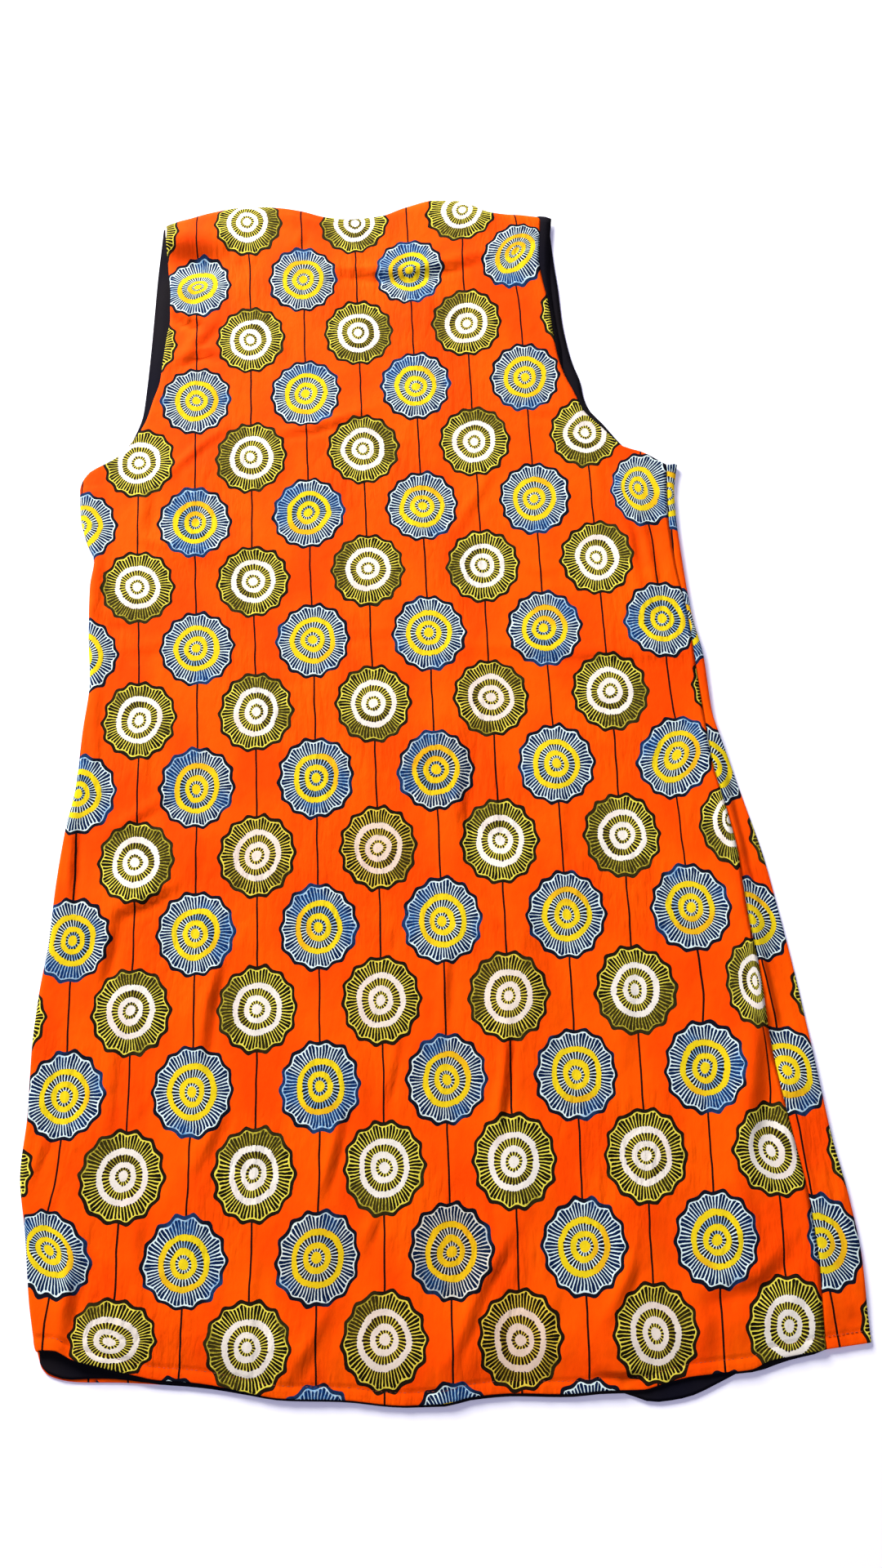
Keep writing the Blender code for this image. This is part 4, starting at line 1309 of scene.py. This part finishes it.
def nearest_disc(w, drawn, sizes):
    """The nearest disc: whether it is blue, its cell, the place inside it and how far out that is."""
    across, up = sizes.repeat_across / METRES_PER_CM, sizes.repeat_along / METRES_PER_CM
    to_disc = (2 * sizes.repeat_across / sizes.disc_width, 2 * sizes.repeat_along / sizes.disc_height, 0.0)
    cells = drawn / (across, up, 1.0)
    olive_cell = w.reckon("FLOOR", cells + HALF_CELL)
    blue_cell = w.reckon("FLOOR", cells) + HALF_CELL
    in_olive = (cells - olive_cell) * to_disc
    in_blue = (cells - blue_cell) * to_disc
    olive_radius, blue_radius = w.reckon("LENGTH", in_olive), w.reckon("LENGTH", in_blue)
    is_blue = blue_radius < olive_radius
    inside = w.mix(is_blue, in_olive, in_blue, "Vector")
    cell = w.mix(is_blue, olive_cell, blue_cell, "Vector")
    return is_blue, cell, inside, w.reckon("MINIMUM", olive_radius, blue_radius)


def scallops(w, radius, turn, luck):
    """The radius as if the edge's scallops were smoothed out, and how hollow the edge is there."""
    wave = w.reckon("SINE", (turn + luck * TURN_BY_CHANCE) * (LOBES / 2))
    hollow = w.reckon("SQRT", wave * wave + LOBE_ROUNDING**2) - LOBE_ROUNDING
    hollow = hollow / (math.hypot(1, LOBE_ROUNDING) - LOBE_ROUNDING)
    scalloped = radius / (1.0 - hollow * LOBE_DEPTH)
    return radius + (scalloped - radius) * w.spread(radius, *LOBE_ZONE), hollow


def ticks(w, drawn, radius, turn, band, hollow):
    """1 on the ticks between the rings: how many go round depends on the ring."""
    first, second, third = TICK_COUNTS
    in_second = (radius > SECOND_TICKS) * (second - first)
    in_third = (radius > THIRD_TICKS) * (third - second)
    counts = in_second + in_third + first
    phase = turn / (2 * math.pi) * counts
    from_tick = w.reckon("PINGPONG", phase + TURNS_AWAY, 0.5) * 2.0
    ends = None
    for low, high in TICK_ZONES:
        from_ends = w.reckon("MINIMUM", band - low, high - band)
        ends = from_ends if ends is None else w.reckon("MAXIMUM", ends, from_ends)
    ends = ends + w.uneven(drawn, TICK_ENDS)
    rounded = w.reckon("SQRT", w.reckon("MULTIPLY", ends, TICK_ROUNDING, clamp=True))
    at_peak = (1.0 - hollow) ** 4.0 * w.spread(radius, *PEAK_ZONE, 0.0, PEAK_WIDENING)
    return from_tick < (w.uneven(drawn, TICK_WIDTHS) + at_peak) * rounded


def dulled_places(w, place, luck):
    """How much darker and browner each place of the print is: a little by chance, more round the listed
    spots.
    """
    dulled = w.spread(luck, *DULLING_LUCK, 0.0, DULLING_BY_CHANCE)
    for spot in DULLED_SPOTS:
        u, v = print_place(np.array([spot.x]), np.array([spot.y]))
        away = w.reckon("LENGTH", place - (float(u[0]), float(v[0]), 0.0))
        near = w.spread(away, 0.5 * spot.reach, spot.reach, spot.amount, 0.0, soft=True)
        dulled = w.reckon("MAXIMUM", dulled, near)
    return dulled


def paint_discs(w, place, drawn, colours, sizes):
    """The discs' colours and where they lie: 1 on a disc."""
    is_blue, cell, inside, radius = nearest_disc(w, drawn, sizes)
    chance = w.add("TexWhiteNoise", noise_dimensions="3D")
    w.feed(chance.inputs["Vector"], cell)
    luck = Value(w, chance.outputs["Value"]) - 0.5
    in_x, in_y, _ = w.split(inside)
    turn = w.reckon("ARCTAN2", in_y, in_x)
    band, hollow = scallops(w, radius, turn, luck)
    tick = ticks(w, drawn, radius, turn, band, hollow)

    # Stretches of a disc where the dark colour has run over the light one, and where its rings are deeper
    cell_place = inside * HALF + cell * CELLS_APART
    run_over = w.uneven(cell_place, RUN_STRETCHES, soft=True) * w.uneven(drawn, STREAKS)
    deeper = w.uneven(cell_place, DEEP_STRETCHES, soft=True)
    near_middle = radius < THIRD_TICKS

    def disc(kind):
        """One kind of disc, in its own colours."""
        ring, deep_ring, gap, run_gap, tick_colour, run_tick, outline, run_outline = (
            getattr(colours, f"{kind}_{part}") for part in DISC_PARTS
        )
        shade = w.mix(run_over, gap, run_gap)
        ring_now = w.mix(deeper, ring, deep_ring)
        for low, high in RINGS:
            shade = w.mix(w.reckon("COMPARE", radius, (low + high) / 2, (high - low) / 2), shade, ring_now)
        shade = w.mix(radius < CENTRE_DOT, shade, ring_now)
        shade = w.mix(tick, shade, w.mix(near_middle, w.mix(run_over, tick_colour, run_tick), outline))
        return w.mix(band > OUTLINE, shade, w.mix(run_over, outline, run_outline))

    discs = w.mix(is_blue, disc("olive"), disc("blue"))
    return w.mix(dulled_places(w, place, luck), discs, DULLING_TINT, blend="MULTIPLY"), band < 1.0


def paint_ground(w, place, broad, colours, sizes):
    """The ground, a little uneven as dyed cotton is, with the thin lines between the discs."""
    across = sizes.repeat_across / METRES_PER_CM
    ground = w.mix(w.uneven(place * STRETCHED, DYE_CLOUDS), colours.ground_light, colours.ground_deep)
    ground = w.mix(w.uneven(place * FIBROUS, FIBRES), ground, FIBRE_SHADE, blend="MULTIPLY")
    line_x, _, _ = w.split(place + broad * LINE_WAVER)
    from_line = w.reckon("PINGPONG", line_x + CELLS_AWAY * across, across / 4)
    return w.mix(from_line < sizes.line_width / METRES_PER_CM / 2, ground, colours.line)


def print_cotton(colours, sizes):
    """Orange cotton with columns of scalloped discs in two colourings, joined by thin upright lines."""
    w = Wiring("print_cotton")
    place = w.own_map()
    broad_scale, broad_reach = BROAD_WAVER
    fine_scale, fine_reach = FINE_WAVER
    broad = w.noise(place, broad_scale, 1.0, output="Color") - HALF
    fine = w.noise(place, fine_scale, 1.0, output="Color") - HALF
    drawn = place + broad * broad_reach + fine * fine_reach
    discs, on_disc = paint_discs(w, place, drawn, colours, sizes)
    ground = paint_ground(w, place, broad, colours, sizes)

    # A close plain weave under small soft crumples, nearly without shine
    lines = w.reckon("ABSOLUTE", w.noise(place * UPRIGHT, 0.8, 3.0) - 0.5)
    wrinkles = w.bump(lines * w.uneven(place, WRINKLED, soft=True), *WRINKLES)
    soft = w.bump(w.noise(place * STRETCHED, 0.6, 4.0), *CRUMPLES, wrinkles)
    grain = w.noise(place, 14.0, 2.0)
    fine_grain = w.bump(grain, *GRAIN, soft)
    w.dress({
        "Base Color": w.mix(on_disc, ground, discs),
        "Normal": w.bump(w.weave(place, sizes.weave_pitch / METRES_PER_CM), *COTTON_WEAVE, fine_grain),
        "Roughness": w.spread(grain, 0.3, 0.7, 0.7, 0.85),
        "Specular IOR Level": 0.03,
        "Sheen Weight": 0.0,
        "Sheen Roughness": 0.5,
    })
    w.material.diffuse_color = (*colours.ground_light, 1)
    return w.material


def dark_lining(colours, sizes):
    """Fine dark lining, nearly without shine, navy in some folds and charcoal in others."""
    w = Wiring("dark_lining")
    place = w.object_place()
    cloudy = w.noise(place, 9.0, 2.0, "3D")
    soft = w.bump(w.noise(place, 60.0, 3.0, "3D"), *LINING_CRUMPLES)
    w.dress({
        "Base Color": w.mix(w.spread(cloudy, 0.35, 0.65), colours.lining_navy, colours.lining_charcoal),
        "Normal": w.bump(w.weave(place, sizes.weave_pitch * LINING_PITCH), *LINING_WEAVE, soft),
        "Roughness": w.spread(cloudy, 0.3, 0.7, 0.66, 0.78),
        "Sheen Weight": 0.0,
        "Sheen Roughness": 0.4,
        "Specular IOR Level": 0.01,
    })
    w.material.diffuse_color = (*colours.lining_navy, 1)
    return w.material


def sewing_thread(colours):
    """Twisted thread, a rusty brown, with painted shade between its strands."""
    w = Wiring("sewing_thread")
    fibre = w.noise(w.object_place(), 3000.0, 2.0, "3D")
    w.dress({
        "Base Color": w.mix(w.spread(fibre, 0.3, 0.7), colours.thread, colours.thread_strand_shade),
        "Normal": w.bump(fibre, *THREAD_FIBRES),
        "Roughness": w.spread(fibre, 0.3, 0.7, 0.5, 0.7),
    })
    return w.material


def white_floor(settings):
    w = Wiring("white_floor")
    speck = w.uneven(w.object_place(), SPECKS, dimensions="3D")
    w.dress({
        "Base Color": w.mix(speck, tuple(settings.floor_colour), (0.9, 0.9, 0.9), blend="MULTIPLY"),
        "Roughness": 0.9,
        "Specular IOR Level": 0.1,
        # The table glows evenly: painted light, lavender, which shows as the colour of its shadows while the
        # lit table stays white
        "Emission Color": tuple(settings.floor_painted_glow),
        "Emission Strength": settings.floor_painted_glow_strength,
    })
    return w.material


def length(name, description, default):
    return bpy.props.FloatProperty(
        name=name, description=description, default=default, min=0.0, precision=5,
        subtype="DISTANCE", unit="LENGTH",
    )


def power(name, description, default):
    return bpy.props.FloatProperty(
        name=name, description=description, default=default, min=0.0, subtype="POWER", unit="POWER"
    )


def strength(name, description, default):
    return bpy.props.FloatProperty(
        name=name, description=description, default=default, min=0.0, soft_max=1.0, subtype="FACTOR"
    )


def colour(name, description, default):
    return bpy.props.FloatVectorProperty(
        name=name, description=description, default=default, min=0.0, max=1.0, size=3, subtype="COLOR"
    )


class LongVestSizes(bpy.types.PropertyGroup):
    """Sizes of the cloth and of its print."""

    cotton_wall: length("Cotton thickness", "Thickness of the printed cotton", 0.0005)
    lining_wall: length("Lining thickness", "Thickness of the lining", 0.00035)
    repeat_across: length("Repeat across", "From one column of like discs to the next", 0.091)
    repeat_along: length("Repeat along", "From one disc to the next in a column", 0.11318)
    disc_width: length("Disc width", "Width of a printed disc with its outline", 0.0598)
    disc_height: length("Disc height", "Height of a printed disc with its outline", 0.0662)
    line_width: length("Line width", "Width of the thin printed lines", 0.0014)
    weave_pitch: length("Weave pitch", "From one thread of the cotton to the next", 0.00045)
    stitch_pitch: length("Stitch pitch", "From one hem stitch to the next", 0.0031)
    stitch_length: length("Stitch length", "Length of the thread that shows in one stitch", 0.0024)
    thread_width: length("Thread width", "Thickness of the sewing thread", 0.0004)


class LongVestColours(bpy.types.PropertyGroup):
    """Colours of the print, the lining and the thread."""

    ground_light: colour("Ground", "Orange ground of the print", (1.0, 0.093, 0.0))
    ground_deep: colour("Deeper ground", "Orange ground where the dye is deeper", (0.97, 0.062, 0.0))
    line: colour("Lines", "Thin lines between the discs", (0.014, 0.004, 0.003))
    blue_ring: colour("Blue: ring", "Yellow rings of the blue discs", (0.82, 0.61, 0.01))
    blue_deep_ring: colour("Blue: deep ring", "Yellow rings where the dye is deeper", (0.8, 0.44, 0.01))
    blue_gap: colour("Blue: gap", "Between the ticks of the blue discs", (0.73, 0.88, 0.88))
    blue_run_gap: colour("Blue: run gap", "Between the ticks where the blue ran", (0.13, 0.34, 0.61))
    blue_tick: colour("Blue: tick", "Ticks of the blue discs", (0.002, 0.011, 0.052))
    blue_run_tick: colour("Blue: run tick", "Ticks where the blue ran", (0.005, 0.035, 0.15))
    blue_outline: colour("Blue: outline", "Outline of the blue discs", (0.005, 0.006, 0.013))
    blue_run_outline: colour("Blue: run outline", "Outline where the blue ran", (0.012, 0.045, 0.15))
    olive_ring: colour("Olive: ring", "White rings of the olive discs", (0.84, 0.78, 0.7))
    olive_deep_ring: colour("Olive: deep ring", "White rings where they are less bright", (0.81, 0.71, 0.64))
    olive_gap: colour("Olive: gap", "Between the ticks of the olive discs", (0.82, 0.71, 0.08))
    olive_run_gap: colour("Olive: run gap", "Between the ticks where the olive ran", (0.19, 0.145, 0.008))
    olive_tick: colour("Olive: tick", "Ticks of the olive discs", (0.008, 0.006, 0.002))
    olive_run_tick: colour("Olive: run tick", "Ticks where the olive ran", (0.045, 0.035, 0.006))
    olive_outline: colour("Olive: outline", "Outline of the olive discs", (0.014, 0.008, 0.004))
    olive_run_outline: colour("Olive: run outline", "Outline where the olive ran", (0.035, 0.026, 0.006))
    lining_navy: colour("Navy lining", "Lining, where it looks navy", (0.0045, 0.0045, 0.011))
    lining_charcoal: colour("Charcoal lining", "Lining, where it looks charcoal", (0.012, 0.01, 0.012))
    thread: colour("Thread", "Sewing thread", (0.34, 0.035, 0.004))
    # Painted shade: a darker colour for the thread between its strands
    thread_strand_shade: colour("Dark thread", "Sewing thread between its strands", (0.13, 0.02, 0.006))


class LongVestStage(bpy.types.PropertyGroup):
    """The table and the lights."""

    floor_size: length("Table size", "Length of the table's sides", 14.0)
    floor_colour: colour("Table", "Colour of the table", (0.95, 0.95, 0.95))
    # The table's glow is painted light, which tints its shadows lavender
    floor_painted_glow: colour("Table glow", "Colour that the lit-up table shows in a shadow", (0.5, 0.47, 1.0))
    floor_painted_glow_strength: strength("Glow strength", "Strength of the table's glow", 0.24)
    key_power: power("Key light", "Power of the large light beyond the neck", 350.0)
    fill_power: power("Fill light", "Power of the overhead light", 42.0)
    sky_strength: strength("Sky", "Strength of the light from all round", 0.2)


def lay_pieces(pieces, wall, material):
    """Makes panels, attaches them to the body and hides the parts that they stand in for."""
    for node, lay, flat, rests_on in pieces:
        panel, area = make_panel(f"{node}_panel", lay(), wall, material)
        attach(panel, BODY)
        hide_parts(node)
        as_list(rests_on)


class LONGVEST_OT_lay_print_panels(bpy.types.Operator):
    """Lays the back and the two fronts of printed cotton"""

    bl_idname = "long_vest.lay_print_panels"
    bl_label = "Lay printed panels"

    def execute(self, context):
        sizes = context.scene.long_vest_sizes
        pieces = (
            ("back", lay_back, (0.63, 1.0), ["lining_back"]),
            ("front_left", lay_front_left, (0.32, 1.0), []),
            ("front_right", lay_front_right, (0.37, 1.0), []),
        )
        material = print_cotton(context.scene.long_vest_colours, sizes)
        lay_pieces(pieces, sizes.cotton_wall, material)
        return {"FINISHED"}


class LONGVEST_OT_lay_linings(bpy.types.Operator):
    """Lays the dark linings of the back and the two fronts"""

    bl_idname = "long_vest.lay_linings"
    bl_label = "Lay linings"

    def execute(self, context):
        sizes = context.scene.long_vest_sizes
        pieces = (
            ("lining_back", lay_lining_back, (0.6, 0.98), ["lining_front_left"]),
            ("lining_front_left", lay_lining_front_left, (0.34, 0.98), ["front_left"]),
            ("lining_front_right", lay_lining_front_right, (0.34, 0.98), ["front_right"]),
        )
        material = dark_lining(context.scene.long_vest_colours, sizes)
        lay_pieces(pieces, sizes.lining_wall, material)
        return {"FINISHED"}


# The hems' stitching: where each line runs in x, how far the thread is sunk, and how flat it is
STITCHES_ON_TOP = ((-26.7, 25.25), (25.55, 28.1))
STITCHES_BELOW = ((-26.5, 3.6), (4.4, 28.0))
THREAD_LIFT = 0.05
THREAD_LIFT_BELOW = 0.1
THREAD_FLATNESS = 0.8
LINE_SAMPLES = 2000


def on_top(x, y):
    return top_height(x, y) + THREAD_LIFT


def underneath(x, y):
    return np.full_like(x, THREAD_LIFT_BELOW)


def stitch_line(ends, height_at, hem, pitch):
    """Places and directions of the stitches of a hem, at even steps along its topstitching."""
    x = np.linspace(*ends, LINE_SAMPLES)
    y = hem(x) + STITCH_LINE
    points = np.column_stack([x * METRES_PER_CM, y * METRES_PER_CM, height_at(x, y) * METRES_PER_MM])
    run = np.concatenate([[0], np.cumsum(np.linalg.norm(np.diff(points, axis=0), axis=1))])
    at = np.arange(pitch / 2, run[-1], pitch)
    places, ahead = (
        np.column_stack([np.interp(where, run, points[:, i]) for i in range(3)])
        for where in (at, at + pitch / 4)
    )
    return places, ahead - places


def make_stitches(name, lines, sizes, material):
    """Every stitch of a hem: a short drawn-out bead of thread, modelled once and laid at each place."""
    deselect_all()
    bpy.ops.mesh.primitive_uv_sphere_add(segments=6, ring_count=5, radius=0.5)
    stitches = bpy.context.active_object
    stitches.name = stitches.data.name = name
    mesh = stitches.data
    size = np.array([sizes.stitch_length, sizes.thread_width, sizes.thread_width * THREAD_FLATNESS])
    bead = read_places(mesh)[:, [2, 0, 1]] * size
    faces = [tuple(face.vertices) for face in mesh.polygons]
    corners, all_faces = [], []
    for places, runs in lines:
        for place, run in zip(places, runs):
            ahead = Vector(run).normalized()
            side = ahead.cross(Vector((0, 0, 1))).normalized()
            first = len(bead) * len(corners)
            corners.append(bead @ np.array([ahead, side, side.cross(ahead)]) + place)
            all_faces += [tuple(first + corner for corner in face) for face in faces]
    mesh.clear_geometry()
    mesh.from_pydata(np.concatenate(corners).tolist(), [], all_faces)
    mesh.validate()
    bpy.ops.object.mode_set(mode="EDIT")
    bpy.ops.mesh.select_all(action="SELECT")
    bpy.ops.mesh.normals_make_consistent(inside=False)
    bpy.ops.object.mode_set(mode="OBJECT")
    bpy.ops.object.shade_smooth()
    mesh.materials.clear()
    mesh.materials.append(material)
    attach(stitches, BODY)


class LONGVEST_OT_sew_hems(bpy.types.Operator):
    """Sews the topstitching of the hems, on top and underneath"""

    bl_idname = "long_vest.sew_hems"
    bl_label = "Sew hems"

    def execute(self, context):
        sizes = context.scene.long_vest_sizes
        material = sewing_thread(context.scene.long_vest_colours)
        for name, stretches, height_at, hem in (
            ("hem_stitches_top", STITCHES_ON_TOP, on_top, back_hem),
            ("hem_stitches_below", STITCHES_BELOW, underneath, front_hem),
        ):
            lines = [stitch_line(ends, height_at, hem, sizes.stitch_pitch) for ends in stretches]
            make_stitches(name, lines, sizes, material)
        return {"FINISHED"}


# The camera, as the photograph was taken, in metres: its place, its right, its up and its backward direction
CAMERA_PLACE = (0.0032, -0.3134, 0.8910)
CAMERA_RIGHT = (0.99911, -0.04216, 0.0)
CAMERA_UP = (0.04044, 0.95843, 0.28245)
CAMERA_BACK = (-0.01191, -0.28220, 0.95928)
CAMERA_LENS = 28.125
NEAREST = 0.01
SKY_COLOUR = (0.82, 0.8, 1.0, 1)

# The lights look at the middle of the vest; places and sizes in metres
Light = namedtuple("Light", "name place size tint")
KEY_LIGHT = Light("key_light", (-1.7, 2.85, 1.45), (1.9, 1.2), (1.0, 0.99, 0.97))
FILL_LIGHT = Light("fill_light", (1.0, -1.2, 5.5), (3.0, 3.0), (0.97, 0.98, 1.0))


def add_light(light, watts):
    data = bpy.data.lights.new(light.name, "AREA")
    data.shape = "RECTANGLE"
    data.size, data.size_y = light.size
    data.energy = watts
    data.color = light.tint
    lamp = bpy.data.objects.new(light.name, data)
    bpy.context.scene.collection.objects.link(lamp)
    lamp.location = light.place
    lamp.rotation_euler = (-Vector(light.place)).to_track_quat("-Z", "Y").to_euler()


def add_sky(brightness):
    world = bpy.data.worlds.new("studio")
    world.use_nodes = True
    sky = world.node_tree.nodes["Background"]
    sky.inputs["Color"].default_value = SKY_COLOUR
    sky.inputs["Strength"].default_value = brightness
    bpy.context.scene.world = world


def add_camera():
    data = bpy.data.cameras.new("camera")
    data.lens = CAMERA_LENS
    data.clip_start = NEAREST
    camera = bpy.data.objects.new("camera", data)
    bpy.context.scene.collection.objects.link(camera)
    turned = Matrix((CAMERA_RIGHT, CAMERA_UP, CAMERA_BACK)).transposed().to_4x4()
    camera.matrix_world = Matrix.Translation(CAMERA_PLACE) @ turned
    bpy.context.scene.camera = camera


class LONGVEST_OT_set_stage(bpy.types.Operator):
    """Sets up the white table, the soft lights and the camera"""

    bl_idname = "long_vest.set_stage"
    bl_label = "Set stage"

    def execute(self, context):
        settings = context.scene.long_vest_stage
        deselect_all()
        bpy.ops.mesh.primitive_plane_add(size=settings.floor_size, location=(0, 0, 0))
        floor = context.active_object
        floor.name = floor.data.name = "table_top"
        floor.data.materials.append(white_floor(settings))
        add_light(KEY_LIGHT, settings.key_power)
        add_light(FILL_LIGHT, settings.fill_power)
        add_sky(settings.sky_strength)
        add_camera()
        context.scene.view_settings.view_transform = "Standard"
        return {"FINISHED"}


class LONGVEST_PT_sidebar(bpy.types.Panel):
    """Lists the vest's operators with its sizes and colours"""

    bl_idname = "LONGVEST_PT_sidebar"
    bl_label = "Long vest"
    bl_space_type = "VIEW_3D"
    bl_region_type = "UI"
    bl_category = "Long vest"

    def draw(self, context):
        layout = self.layout
        for operator in OPERATORS:
            layout.operator(operator.bl_idname)
        for key in GROUPS:
            group = getattr(context.scene, key)
            box = layout.box()
            for name in group.__annotations__:
                box.prop(group, name)


GROUPS = {
    "long_vest_sizes": LongVestSizes,
    "long_vest_colours": LongVestColours,
    "long_vest_stage": LongVestStage,
}
OPERATORS = (
    LONGVEST_OT_lay_print_panels,
    LONGVEST_OT_lay_linings,
    LONGVEST_OT_sew_hems,
    LONGVEST_OT_set_stage,
)


def register():
    for group in GROUPS.values():
        bpy.utils.register_class(group)
    for kind in (*OPERATORS, LONGVEST_PT_sidebar):
        bpy.utils.register_class(kind)
    for name, group in GROUPS.items():
        setattr(bpy.types.Scene, name, bpy.props.PointerProperty(type=group))


def unregister():
    for name in GROUPS:
        delattr(bpy.types.Scene, name)
    for kind in (LONGVEST_PT_sidebar, *reversed(OPERATORS), *GROUPS.values()):
        bpy.utils.unregister_class(kind)


def main():
    register()
    bpy.ops.long_vest.set_stage()
    bpy.ops.long_vest.lay_print_panels()
    bpy.ops.long_vest.lay_linings()
    bpy.ops.long_vest.sew_hems()


if __name__ == "__main__":
    main()
